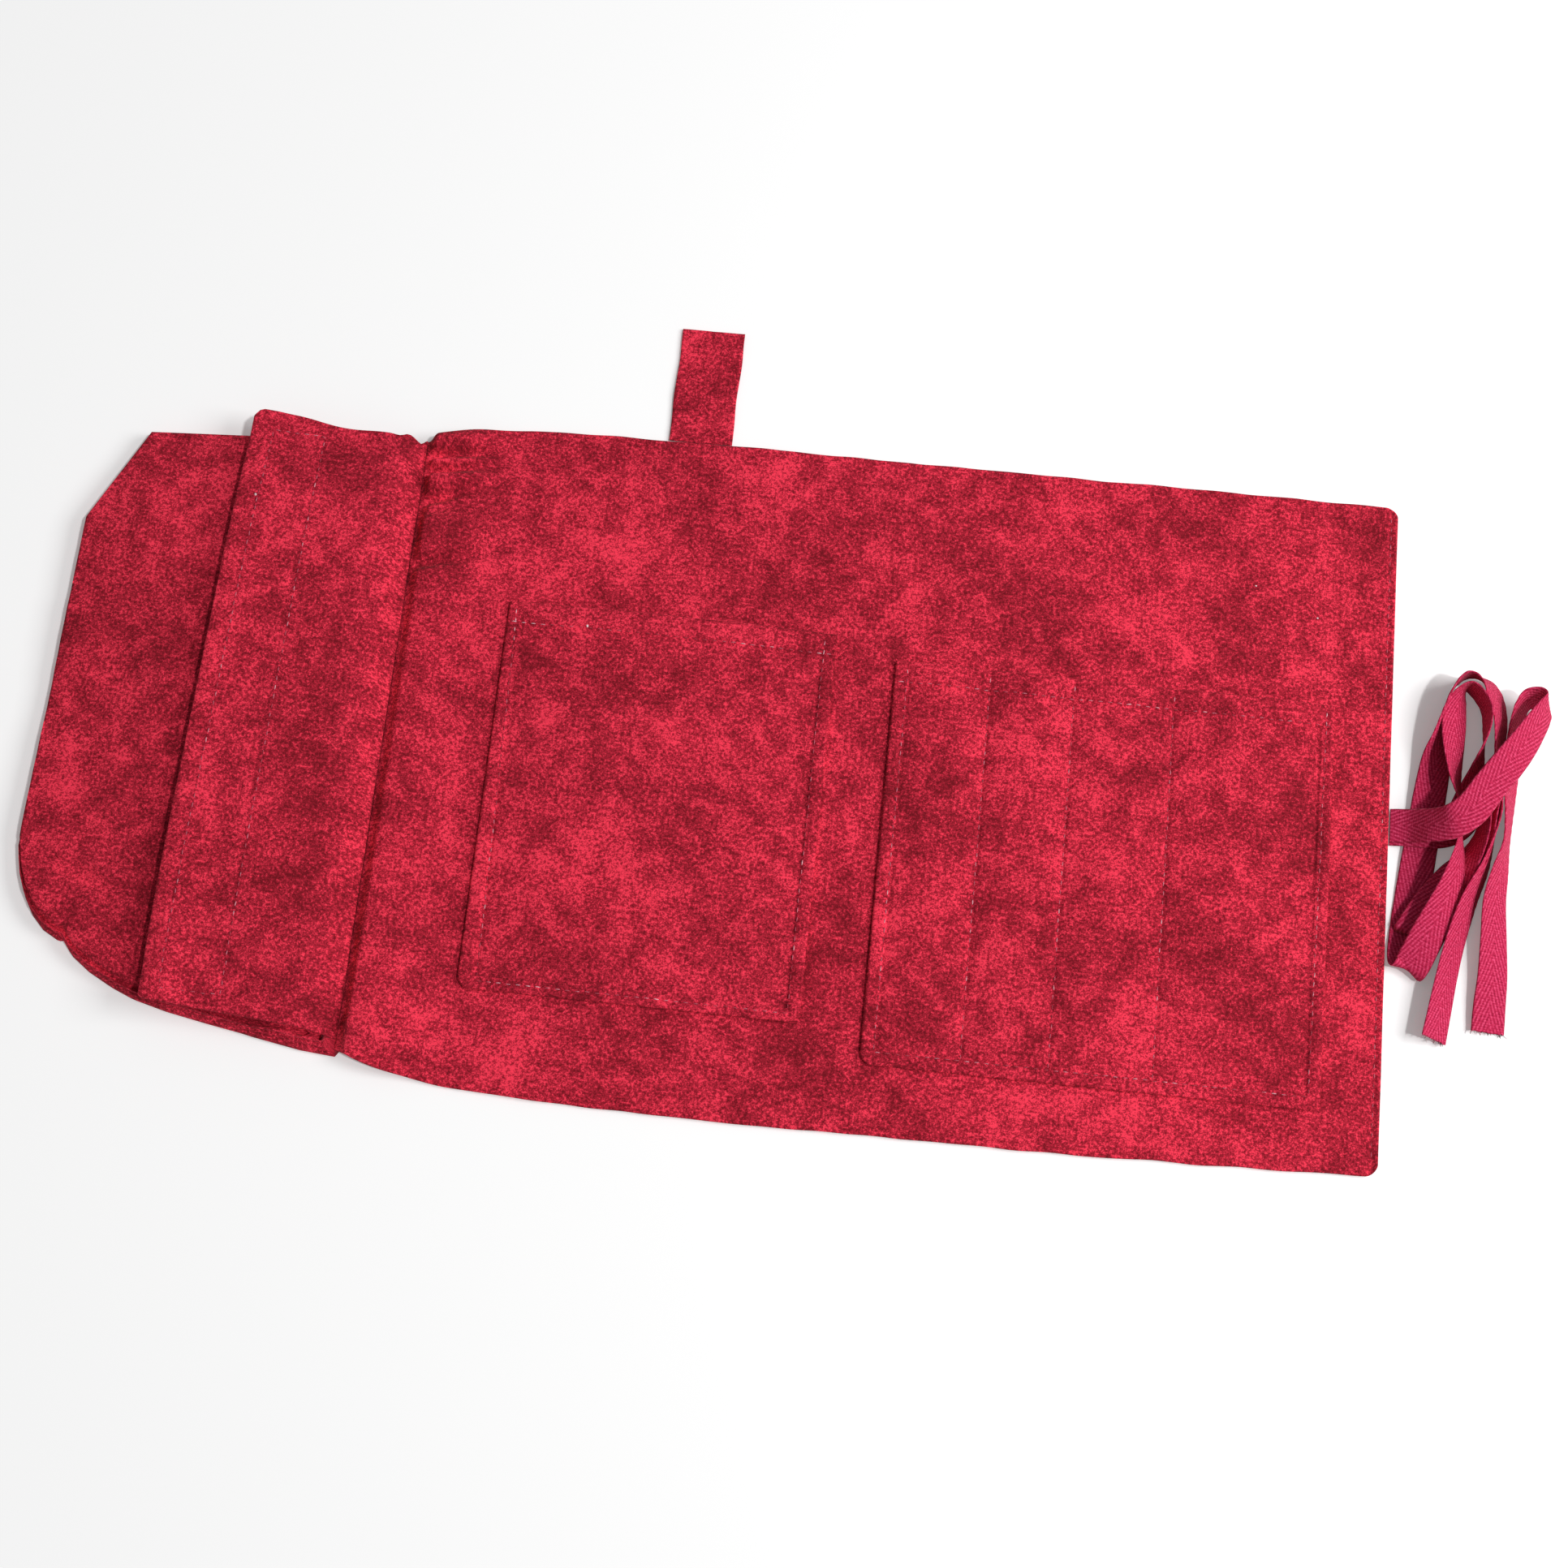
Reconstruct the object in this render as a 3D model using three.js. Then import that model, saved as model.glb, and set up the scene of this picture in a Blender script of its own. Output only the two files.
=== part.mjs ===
// Roll-up dice pouch, laid open on a table.
// A lined cotton panel carries two patch pockets. A soft bag with boxed corners is sewn to its left
// end, a flap folds over the mouth of the bag and a hook-and-loop strip closes it. A short tab is
// sewn into the far edge and a twill tape tie into the right-hand end.
// X runs along the length towards the tie, Y across it towards the tab, Z up.
// The origin is on the underside, at the middle of the main panel.
import * as THREE from 'three';

// Main panel: two layers of cotton sewn face to face, turned and topstitched.
const PANEL_LENGTH = 368;
const PANEL_WIDTH = 254;
const PANEL_THICK = 1.8;
const PANEL_CORNER = 5;
const FAR_EDGE_BOW = 3.6;
const NEAR_EDGE_BOW = 4.4;
const NEAR_BOW_PEAK = 0.33;
const CREASE_PINCH = 10;
const CREASE_PINCH_REACH = 22;
const SEAM_GAP = 0.3;

// The pull of the bag leaves a soft roll beside the crease and a few folds that run out of its ends.
const ROLL_PEAK = 6.5;
const ROLL_FALL = 32;
const ROLL_HEIGHT = 3.4;
const GATHER_REACH = 70;
const FOLD_START = 4;
const SOFT_FOLDS = [
  { side: 0.88, length: 34, width: 6, height: 2, slope: 0.18 },
  { side: 0.76, length: 32, width: 6.5, height: 2.2, slope: 0.2 },
  { side: 0.6, length: 40, width: 12, height: 2.2, slope: 0.22 },
  { side: -0.62, length: 34, width: 9, height: 1.2, slope: 0.1 },
  { side: -0.88, length: 70, width: 7, height: 2.6, slope: -0.14 },
];

// Dice bag: its front, back and side seams, flattened by its own weight.
const BAG_LENGTH = 121;
const BAG_CLOTH = 1.5;
const BAG_END_WIDTH = 124;
const BAG_END_SHIFT = 7;
const BAG_FULL_WIDTH = 216;
const BAG_FULL_SHIFT = -4;
const BAG_MOUTH_WIDTH = 233;
const BAG_MOUTH_SHIFT = -6.5;
const BOXED_CORNER_RUN = 18;
const ROUND_CORNER_RUN = 52;
const ROUND_CORNER_POWER = 1.7;
const BAG_RIM_SETBACK = 7;
const BAG_SIDE_HEIGHT = 6.4;
const BAG_MOUTH_LIFT = 2.2;
const BAG_CROWN = 5.2;
const BAG_SIDE_TUCK = 2.4;
const BAG_SIDE_WALL = 6;
const BAG_SIDE_ROUND = 2;
const MOUTH_SLANT_FROM = 0.8;

// Flap: a double band, hinged along the crease and folded back over the mouth.
const FLAP_REACH = 64;
const FLAP_SPAN = 227.2;
const FLAP_SHIFT = -0.9;
const FLAP_SHEAR = 4.6;
const FLAP_EDGE_SLANT = 0.029;
const FLAP_THICK = 1.4;
const FLAP_CORNER = 4;
const FLAP_HELD_SHARE = 0.94;
const FLAP_HINGE_RUN = 2;

// The far edge of the flap sags midway and puckers beside the crease.
const FLAP_SAG = 1.6;
const FLAP_SAG_AT = 34;
const FLAP_SAG_REACH = 20;
const FLAP_PUCKER = 1.6;
const FLAP_PUCKER_AT = 6.5;
const FLAP_PUCKER_REACH = 5;

// Hook-and-loop strips, one under the flap and one on the front of the bag.
const STRIP_WIDTH = 25;
const STRIP_LENGTH = 212;
const STRIP_THICK = 1;
const STRIP_INSET = 2.4;

// Patch pockets, hemmed and sewn down on three sides, open towards +Y.
const POCKET_THICK = 0.9;
const POCKET_HEM_THICK = 1.5;
const POCKET_HEM = 4.5;
const POCKET_MOUTH_HEM = 8;
const POCKET_CORNER = 4.6;
const PLAIN_POCKET_WIDTH = 122;
const PLAIN_POCKET_HEIGHT = 146.5;
const PLAIN_POCKET_FROM_CREASE = 39;
const PLAIN_POCKET_TOP = 52.5;
const PLAIN_POCKET_FULLNESS = 2.2;
const DIVIDED_POCKET_WIDTH = 163;
const DIVIDED_POCKET_HEIGHT = 151;
const DIVIDED_POCKET_FROM_CREASE = 183.4;
const DIVIDED_POCKET_TOP = 44.7;
const DIVIDED_POCKET_FULLNESS = 1.4;
const POCKET_RISE_SHARE = 0.22;
const NARROW_SLOT = 31;
const MIDDLE_SLOT = 31.5;
const WIDE_SLOT = 37;

// Tab: a folded strip caught in the seam of the far edge.
const TAB_WIDTH = 24;
const TAB_LENGTH = 47;
const TAB_THICK = 1.4;
const TAB_FROM_CREASE = 90;

// Tie: one length of twill tape caught in the seam of the right-hand end, so two tails leave it.
const TAPE_WIDTH = 12.7;
const TAPE_THICK = 0.7;
const TAPE_EDGE_SHARE = 0.3;
const TIE_SHIFT = 1;

// Cloth colours.
const CRIMSON = 0xa8122c;
const DARK_CRIMSON = 0x8c0f26;
const RASPBERRY = 0xb02a50;
const STRIP_RED = 0x7c1024;

// How finely the soft forms are faceted, and how near its rim a sheet starts to round off.
const PANEL_MARGIN = 0.005;
const EDGE_FOLDS_REACH = 54;
const FRONT_POINTS = 18;
const BACK_POINTS = 8;
const TAIL_FRONT_STEPS = 60;
const TAIL_BACK_STEPS = 80;

// Places that follow from the sizes.
const crease = -PANEL_LENGTH / 2;
const rightEdge = PANEL_LENGTH / 2;
const bagEnd = crease - BAG_LENGTH;
const bagRim = crease - BAG_RIM_SETBACK;
const layerOnPanel = PANEL_THICK + SEAM_GAP;

function mix(a, b, t) {
  return a + (b - a) * t;
}

// A smooth hump: 1 at the middle, 0 from a distance of 1 outwards.
function hump(distance) {
  const t = Math.min(Math.abs(distance), 1);
  return (1 + Math.cos(Math.PI * t)) / 2;
}

// Parameters from 0 to 1 in equal steps, with one more close to each end, so an edge can round off.
function edgedSteps(count, margin) {
  const steps = [0, margin];
  for (let i = 1; i < count; i += 1) {
    steps.push(mix(margin, 1 - margin, i / count));
  }
  steps.push(1 - margin, 1);
  return steps;
}

// A closed sheet over a grid of u and v. place(u, v) gives x, y, the underside and the top.
function clothSheet(us, vs, place) {
  const positions = [];
  const indices = [];
  const columns = vs.length;
  const sheet = us.length * columns;
  for (const side of ['under', 'over']) {
    for (const u of us) {
      for (const v of vs) {
        const point = place(u, v);
        positions.push(point.x, point.y, point[side]);
      }
    }
  }
  function quad(a, b, c, d) {
    indices.push(a, b, c, a, c, d);
  }
  for (let i = 0; i < us.length - 1; i += 1) {
    for (let j = 0; j < columns - 1; j += 1) {
      const a = i * columns + j;
      const b = a + columns;
      quad(a, a + 1, b + 1, b);
      quad(sheet + a, sheet + b, sheet + b + 1, sheet + a + 1);
    }
    const near = i * columns;
    const far = near + columns - 1;
    quad(near, near + columns, sheet + near + columns, sheet + near);
    quad(far, sheet + far, sheet + far + columns, far + columns);
  }
  const last = (us.length - 1) * columns;
  for (let j = 0; j < columns - 1; j += 1) {
    quad(j, sheet + j, sheet + j + 1, j + 1);
    quad(last + j, last + j + 1, sheet + last + j + 1, sheet + last + j);
  }
  const geometry = new THREE.BufferGeometry();
  geometry.setAttribute('position', new THREE.Float32BufferAttribute(positions, 3));
  geometry.setIndex(indices);
  return geometry;
}

// How far a round corner of the given radius cuts in, at this distance from the side.
function cornerCut(distance, radius) {
  const inside = Math.max(radius - distance, 0);
  return radius - Math.sqrt(radius * radius - inside * inside);
}

// Cloth thins to about half where its edge turns under.
function turnedEdge(u, v, margin) {
  const atEdge = Math.min(u, 1 - u, v, 1 - v) < margin;
  return atEdge ? 0.5 : 1;
}

// The far and near edges of the panel are pinched in where the bag is gathered at the crease.
function farEdge(x) {
  const along = x - crease;
  const pinch = CREASE_PINCH * Math.exp(-along / CREASE_PINCH_REACH);
  return PANEL_WIDTH / 2 - FAR_EDGE_BOW * (1 - along / PANEL_LENGTH) - pinch;
}

function nearEdge(x) {
  const along = x - crease;
  const fromPeak = (along / PANEL_LENGTH - NEAR_BOW_PEAK) / (1 - NEAR_BOW_PEAK);
  const bow = NEAR_EDGE_BOW * (1 - fromPeak ** 2);
  const pinch = CREASE_PINCH * Math.exp(-along / CREASE_PINCH_REACH);
  return -PANEL_WIDTH / 2 - bow + pinch;
}

// Height of the soft roll and the folds above the flat.
function foldLift(x, y) {
  const along = x - crease;
  const past = along - ROLL_PEAK;
  let lift = ROLL_HEIGHT * hump(past / (past < 0 ? ROLL_PEAK : ROLL_FALL));
  const run = along - FOLD_START;
  for (const fold of SOFT_FOLDS) {
    const across = y - fold.side * (PANEL_WIDTH / 2) - fold.slope * run;
    const fade = hump(run / (run < 0 ? FOLD_START : fold.length));
    lift += fold.height * fade * hump(across / fold.width);
  }
  return lift;
}

function panelPlace(u, v) {
  const x = mix(crease, rightEdge, u);
  const fromRight = rightEdge - x;
  const cut = cornerCut(fromRight, PANEL_CORNER);
  const y = mix(nearEdge(x) + cut, farEdge(x) - cut, v);
  const lift = foldLift(x, y);
  const thick = PANEL_THICK * turnedEdge(u, v, PANEL_MARGIN);
  return { x, y, under: lift, over: lift + thick };
}

// Stations along the panel: close together beside the crease and at the round corners.
function panelStations() {
  const gathered = GATHER_REACH / PANEL_LENGTH;
  const corner = PANEL_CORNER / PANEL_LENGTH;
  const stations = [0];
  for (let i = 1; i <= 18; i += 1) {
    stations.push(gathered * (i / 18) ** 1.4);
  }
  for (let i = 1; i <= 6; i += 1) {
    stations.push(mix(gathered, 1 - corner, i / 6));
  }
  stations.push(1 - 0.45 * corner, 1 - 0.12 * corner, 1);
  return stations;
}

// Columns across the panel: close together where the folds run, near its far and near edges.
function panelColumns() {
  const folded = EDGE_FOLDS_REACH / PANEL_WIDTH;
  const columns = [0, PANEL_MARGIN];
  for (let i = 1; i <= 8; i += 1) {
    columns.push(mix(PANEL_MARGIN, folded, i / 8));
  }
  for (let i = 1; i <= 10; i += 1) {
    columns.push(mix(folded, 1 - folded, i / 10));
  }
  for (let i = 1; i <= 18; i += 1) {
    columns.push(mix(1 - folded, 1 - PANEL_MARGIN, i / 18));
  }
  columns.push(1);
  return columns;
}

function mainPanel() {
  return clothSheet(panelStations(), panelColumns(), panelPlace);
}

// Plan of the bag. Its far corner is boxed straight across and its near corner has slumped round.
function bagFar(x) {
  const along = x - bagEnd;
  const full = BAG_FULL_SHIFT + BAG_FULL_WIDTH / 2;
  const end = BAG_END_SHIFT + BAG_END_WIDTH / 2;
  if (along < BOXED_CORNER_RUN) {
    return mix(end, full, along / BOXED_CORNER_RUN);
  }
  const mouth = BAG_MOUTH_SHIFT + BAG_MOUTH_WIDTH / 2;
  return mix(full, mouth, (along - BOXED_CORNER_RUN) / (BAG_LENGTH - BOXED_CORNER_RUN));
}

function bagNear(x) {
  const along = x - bagEnd;
  const full = BAG_FULL_SHIFT - BAG_FULL_WIDTH / 2;
  const end = BAG_END_SHIFT - BAG_END_WIDTH / 2;
  if (along < ROUND_CORNER_RUN) {
    const back = (1 - along / ROUND_CORNER_RUN) ** ROUND_CORNER_POWER;
    return mix(end, full, (1 - back) ** (1 / ROUND_CORNER_POWER));
  }
  const mouth = BAG_MOUTH_SHIFT - BAG_MOUTH_WIDTH / 2;
  return mix(full, mouth, (along - ROUND_CORNER_RUN) / (BAG_LENGTH - ROUND_CORNER_RUN));
}

// Height of the front of the bag: it rises from the side seams to a soft crown.
function bagFront(x, y) {
  const along = Math.min(Math.max((x - bagEnd) / (bagRim - bagEnd), 0), 1);
  const middle = BAG_MOUTH_LIFT * along + BAG_CROWN * Math.sin(Math.PI * along);
  const centre = (bagFar(x) + bagNear(x)) / 2;
  const across = Math.min(Math.abs(y - centre) / (bagFar(x) - centre), 1);
  return BAG_SIDE_HEIGHT + middle * (1 - across ** 4);
}

// One ring round the bag, outside or inside, seen along X, and how far each point leads the rim.
function bagRing(x) {
  const outer = [];
  const inner = [];
  const far = bagFar(x);
  const near = bagNear(x);
  function add(y, z, innerY, innerZ) {
    outer.push([y, z]);
    inner.push([innerY, innerZ]);
  }
  const farWall = far - BAG_SIDE_WALL;
  const nearWall = near + BAG_SIDE_WALL;
  for (let i = 0; i <= BACK_POINTS; i += 1) {
    const y = mix(near + BAG_SIDE_ROUND, far - BAG_SIDE_ROUND, i / BACK_POINTS);
    add(y, 0, mix(nearWall, farWall, i / BACK_POINTS), BAG_CLOTH);
  }
  // The side seam: the back layer's lip, a tuck and the front layer's lip.
  const lip = BAG_SIDE_HEIGHT;
  const rise = bagFront(x, farWall) - BAG_CLOTH;
  const profile = [
    [0.5, 0.18],
    [0, 0.38],
    [0.6, 0.58],
    [BAG_SIDE_TUCK, 0.7],
    [0.8, 0.82],
    [1.1, 0.96],
  ];
  for (const [inset, height] of profile) {
    add(far - inset, lip * height, farWall, mix(BAG_CLOTH, rise, height));
  }
  for (let i = 0; i <= FRONT_POINTS; i += 1) {
    const t = i / FRONT_POINTS;
    const y = mix(far - BAG_SIDE_ROUND, near + BAG_SIDE_ROUND, t);
    const innerY = mix(farWall, nearWall, t);
    add(y, bagFront(x, y), innerY, bagFront(x, innerY) - BAG_CLOTH);
  }
  for (const [inset, height] of profile.toReversed()) {
    add(near + inset, lip * height, nearWall, mix(BAG_CLOTH, rise, height));
  }
  return { outer, inner };
}

// The back of the bag runs on to the crease, so the mouth slants from there up to the front's rim.
function mouthLead(along, x, y, z) {
  const nearMouth = Math.max((along - MOUTH_SLANT_FROM) / (1 - MOUTH_SLANT_FROM), 0);
  return (BAG_RIM_SETBACK - SEAM_GAP) * nearMouth * (1 - z / bagFront(x, y));
}

function bagStations() {
  const boxed = BOXED_CORNER_RUN / (bagRim - bagEnd);
  const stations = [0, 0.08 * boxed, 0.25 * boxed, 0.6 * boxed, boxed];
  for (let i = 1; i <= 10; i += 1) {
    stations.push(mix(boxed, 1, i / 10));
  }
  return stations;
}

function diceBag() {
  const positions = [];
  const indices = [];
  const alongs = bagStations();
  const innerFirst = 3;
  let ringSize = 0;
  function pushRing(ring, along, x) {
    ringSize = ring.length;
    for (const [y, z] of ring) {
      positions.push(x + mouthLead(along, x, y, z), y, z);
    }
  }
  const outerStart = [];
  const innerStart = [];
  alongs.forEach((along) => {
    const x = mix(bagEnd, bagRim, along);
    outerStart.push(positions.length / 3);
    pushRing(bagRing(x).outer, along, x);
  });
  alongs.forEach((along, i) => {
    if (i < innerFirst) {
      return;
    }
    const x = mix(bagEnd, bagRim, along);
    innerStart.push(positions.length / 3);
    pushRing(bagRing(x).inner, along, x);
  });
  function band(first, second, flip) {
    for (let k = 0; k < ringSize; k += 1) {
      const next = (k + 1) % ringSize;
      const corners = [first + k, second + k, second + next, first + next];
      const [a, b, c, d] = flip ? corners.toReversed() : corners;
      indices.push(a, b, c, a, c, d);
    }
  }
  for (let i = 0; i < outerStart.length - 1; i += 1) {
    band(outerStart[i], outerStart[i + 1], true);
  }
  for (let i = 0; i < innerStart.length - 1; i += 1) {
    band(innerStart[i], innerStart[i + 1], false);
  }
  band(outerStart[outerStart.length - 1], innerStart[innerStart.length - 1], true);
  closeEnd(positions, indices, outerStart[0], ringSize, false);
  closeEnd(positions, indices, innerStart[0], ringSize, true);
  const geometry = new THREE.BufferGeometry();
  geometry.setAttribute('position', new THREE.Float32BufferAttribute(positions, 3));
  geometry.setIndex(indices);
  return geometry;
}

// A flat end over one ring: a fan from the middle of the ring.
function closeEnd(positions, indices, start, count, flip) {
  const centre = [0, 0, 0];
  for (let k = 0; k < count; k += 1) {
    for (let axis = 0; axis < 3; axis += 1) {
      centre[axis] += positions[3 * (start + k) + axis] / count;
    }
  }
  const hub = positions.length / 3;
  positions.push(...centre);
  for (let k = 0; k < count; k += 1) {
    const here = start + k;
    const next = start + ((k + 1) % count);
    indices.push(...(flip ? [hub, here, next] : [hub, next, here]));
  }
}

// Height at which the flap and the strips lie: over the bag, down the slant of the mouth.
function flapRest(x, y) {
  const centre = (bagFar(x) + bagNear(x)) / 2;
  const reach = FLAP_HELD_SHARE * (bagFar(x) - centre);
  const held = Math.min(Math.max(y, centre - reach), centre + reach);
  if (x <= bagRim) {
    return bagFront(x, held) + SEAM_GAP;
  }
  const down = (x - bagRim) / (BAG_RIM_SETBACK - SEAM_GAP);
  return mix(bagFront(bagRim, held), BAG_CLOTH, Math.min(down, 1)) + SEAM_GAP;
}

const stripStack = 2 * (STRIP_THICK + SEAM_GAP);
const flapEdge = crease - SEAM_GAP - FLAP_REACH;
const stripLeft = flapEdge + STRIP_INSET;

function slanted(x, y) {
  const toEdge = (crease - x) / FLAP_REACH;
  return x + FLAP_EDGE_SLANT * y * Math.min(Math.max(toEdge, 0), 1);
}

function flapPlace(u, v) {
  const straight = mix(crease - SEAM_GAP, flapEdge, u);
  const cut = cornerCut((1 - u) * FLAP_REACH, FLAP_CORNER);
  const shift = FLAP_SHIFT + FLAP_SHEAR * (u - 0.5);
  const fromCrease = u * FLAP_REACH;
  const sag = FLAP_SAG * hump((fromCrease - FLAP_SAG_AT) / FLAP_SAG_REACH);
  const pucker = FLAP_PUCKER * hump((fromCrease - FLAP_PUCKER_AT) / FLAP_PUCKER_REACH);
  const far = shift + FLAP_SPAN / 2 - cut - sag + pucker;
  const y = mix(far, shift - FLAP_SPAN / 2 + cut, v);
  const x = slanted(straight, y);
  const fromHinge = crease - FLAP_HINGE_RUN - straight;
  const overStrip = Math.min(Math.max(fromHinge / (STRIP_WIDTH / 2), 0), 1);
  const under = flapRest(x, y) + stripStack * overStrip;
  const thick = FLAP_THICK * turnedEdge(u, v, 0.02);
  return { x, y, under, over: under + thick };
}

function bagFlap() {
  return clothSheet(edgedSteps(20, 0.02), edgedSteps(24, 0.006), flapPlace);
}

// Both strips follow the front of the bag. The lower one is sewn to it, the upper one to the flap.
function strip(level) {
  function place(u, v) {
    const y = mix(FLAP_SHIFT + STRIP_LENGTH / 2, FLAP_SHIFT - STRIP_LENGTH / 2, v);
    const x = slanted(stripLeft + STRIP_WIDTH * (1 - u), y);
    const under = flapRest(x, y) + level * (STRIP_THICK + SEAM_GAP);
    return { x, y, under, over: under + STRIP_THICK };
  }
  return clothSheet(edgedSteps(4, 0.08), edgedSteps(22, 0.01), place);
}

// A patch pocket: sewn flat at its hems and stitch lines, full between them, open at its top edge.
function patchPocket({ left, top, width, height, fullness, seams }) {
  const margin = POCKET_HEM / width;
  const stops = [0, margin];
  const edges = [POCKET_HEM, ...seams, width - POCKET_HEM];
  for (let k = 0; k < edges.length - 1; k += 1) {
    const cells = Math.max(4, Math.round((edges[k + 1] - edges[k]) / 14));
    for (let i = 1; i <= cells; i += 1) {
      stops.push(mix(edges[k], edges[k + 1], i / cells) / width);
    }
  }
  stops.push(1);
  function lane(across) {
    for (let k = 0; k < edges.length - 1; k += 1) {
      if (across >= edges[k] && across <= edges[k + 1]) {
        const t = (across - edges[k]) / (edges[k + 1] - edges[k]);
        return Math.sin(Math.PI * t) ** 0.8;
      }
    }
    return 0;
  }
  const rows = [0, POCKET_HEM / height];
  for (let i = 1; i <= 9; i += 1) {
    rows.push(mix(POCKET_HEM, height - POCKET_MOUTH_HEM, i / 9) / height);
  }
  rows.push(1);
  function place(u, v) {
    const across = u * width;
    const up = v * height;
    const side = Math.min(across, width - across);
    const cut = cornerCut(side, POCKET_CORNER);
    const y = top - height + mix(cut, height, v);
    const rise = Math.min(Math.max(up - POCKET_HEM, 0) / (POCKET_RISE_SHARE * height), 1);
    const lift = fullness * lane(across) * Math.sin((Math.PI / 2) * rise);
    const hem = side <= POCKET_HEM || up <= POCKET_HEM || up >= height - POCKET_MOUTH_HEM;
    const under = layerOnPanel + lift;
    return { x: left + across, y, under, over: under + (hem ? POCKET_HEM_THICK : POCKET_THICK) };
  }
  const cornered = [0, 0.25, 0.6].map((t) => (t * POCKET_CORNER) / width);
  const us = [...cornered, ...stops.slice(1, -1), ...cornered.toReversed().map((t) => 1 - t)];
  return clothSheet(us, rows, place);
}

function plainPocket() {
  return patchPocket({
    left: crease + PLAIN_POCKET_FROM_CREASE,
    top: PLAIN_POCKET_TOP,
    width: PLAIN_POCKET_WIDTH,
    height: PLAIN_POCKET_HEIGHT,
    fullness: PLAIN_POCKET_FULLNESS,
    seams: [],
  });
}

function dividedPocket() {
  const first = POCKET_HEM + NARROW_SLOT;
  const second = first + MIDDLE_SLOT;
  return patchPocket({
    left: crease + DIVIDED_POCKET_FROM_CREASE,
    top: DIVIDED_POCKET_TOP,
    width: DIVIDED_POCKET_WIDTH,
    height: DIVIDED_POCKET_HEIGHT,
    fullness: DIVIDED_POCKET_FULLNESS,
    seams: [first, second, second + WIDE_SLOT],
  });
}

function tabPlace(u, v) {
  const x = crease + TAB_FROM_CREASE + TAB_WIDTH * u;
  const root = farEdge(x) + SEAM_GAP;
  const thick = TAB_THICK * turnedEdge(u, v, 0.04);
  const y = mix(root, root + TAB_LENGTH, v);
  return { x, y, under: 0, over: thick };
}

function edgeTab() {
  return clothSheet(edgedSteps(3, 0.05), edgedSteps(6, 0.03), tabPlace);
}

// Where the tails lie. Each point gives the middle of the tape from where it leaves the seam, in X, Y
// and height, then the compass direction that one edge points in and how steeply that edge rises:
// at 0 degrees the tape lies flat and at 90 it stands on its edge.
const FRONT_TAIL = [
  [0.4, 0.5, 1.5, 90, 0],
  [7, 0.5, 4, 90, 0],
  [13, -0.5, 11, 90, 0],
  [19, 0, 16.6, 112, 2],
  [25.5, 5, 18.2, 135, 4],
  [32, 14.5, 18, 142, 8],
  [38.5, 23.5, 17.2, 142, 12],
  [44.5, 32, 15, 140, 22],
  [49.7, 40.2, 12.6, 138, 34],
  [53.8, 47, 10.6, 135, 46],
  [55.2, 50.8, 9.6, 130, 56],
  [53, 53, 8.2, 125, 60],
  [48.6, 52.6, 6.8, 135, 60],
  [46.2, 48.5, 5.8, 150, 56],
  [45.2, 42.5, 5.4, 165, 50],
  [44.2, 34, 5.2, 172, 48],
  [43.4, 25, 5.4, 176, 50],
  [42.8, 15, 5.8, 178, 56],
  [42.3, 5, 6.2, 178, 63],
  [41.6, -4, 6.2, 178, 64],
  [39.9, -14, 5.2, 178, 47],
  [38.4, -25, 4.2, 180, 34],
  [38.5, -38, 3.4, 182, 27],
  [38.6, -52, 2.5, 180, 19],
  [37.9, -63, 1.8, 180, 12],
  [37.5, -72.5, 1.3, 180, 8],
];

const BACK_TAIL = [
  [0.5, -0.5, 0.6, 90, 0],
  [7, -0.5, 2, 90, 0],
  [20, 0.5, 2.1, 110, 0],
  [28, 8.5, 1.3, 145, 0],
  [31.4, 26, 5.6, 178, 58],
  [33.3, 38.5, 8, 180, 86],
  [32.7, 48.2, 8, 190, 90],
  [26.6, 55, 7.9, 190, 84],
  [22.9, 48.8, 7, 178, 46],
  [21.4, 37.5, 6.9, 178, 32],
  [22, 20, 7.8, 180, 54],
  [24.6, 2, 8.6, 175, 76],
  [22, -20, 10.4, 154, 34],
  [12.6, -42.5, 8, 153, 4],
  [7.8, -53, 4.4, 154, 0],
  [7.2, -45.5, 1, 168, 0],
  [10, -21, 0.7, 170, 0],
  [15.6, 21, 2.4, 172, 13],
  [17.9, 36.5, 5.3, 180, 46],
  [19.5, 51, 7.6, 182, 82],
  [25.4, 58.8, 7.9, 200, 78],
  [34.6, 56, 6.6, 212, 48],
  [38.6, 45, 6.4, 188, 50],
  [37.4, 29, 7.8, 178, 64],
  [33.8, 12, 8.8, 175, 86],
  [32.3, 0, 8.4, 160, 100],
  [28.4, -9.6, 6.8, 148, 122],
  [21.4, -19.6, 4.5, 145, 160],
  [13, -31.6, 4.5, 148, 178],
  [8.5, -40, 3.4, 150, 178],
  [14.4, -32.5, 2.2, 148, 180],
  [23.4, -20.6, 2.8, 145, 164],
  [31.2, -9, 5.8, 145, 122],
  [35, 6, 8.2, 165, 100],
  [36.8, 14, 8.6, 180, 92],
  [37.8, 5, 8.2, 180, 84],
  [34.4, -11.5, 7, 175, 66],
  [28.2, -27.5, 5.8, 169, 50],
  [22.9, -47.5, 4.8, 169, 42],
  [17.6, -77.5, 4.2, 170, 33],
];

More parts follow.
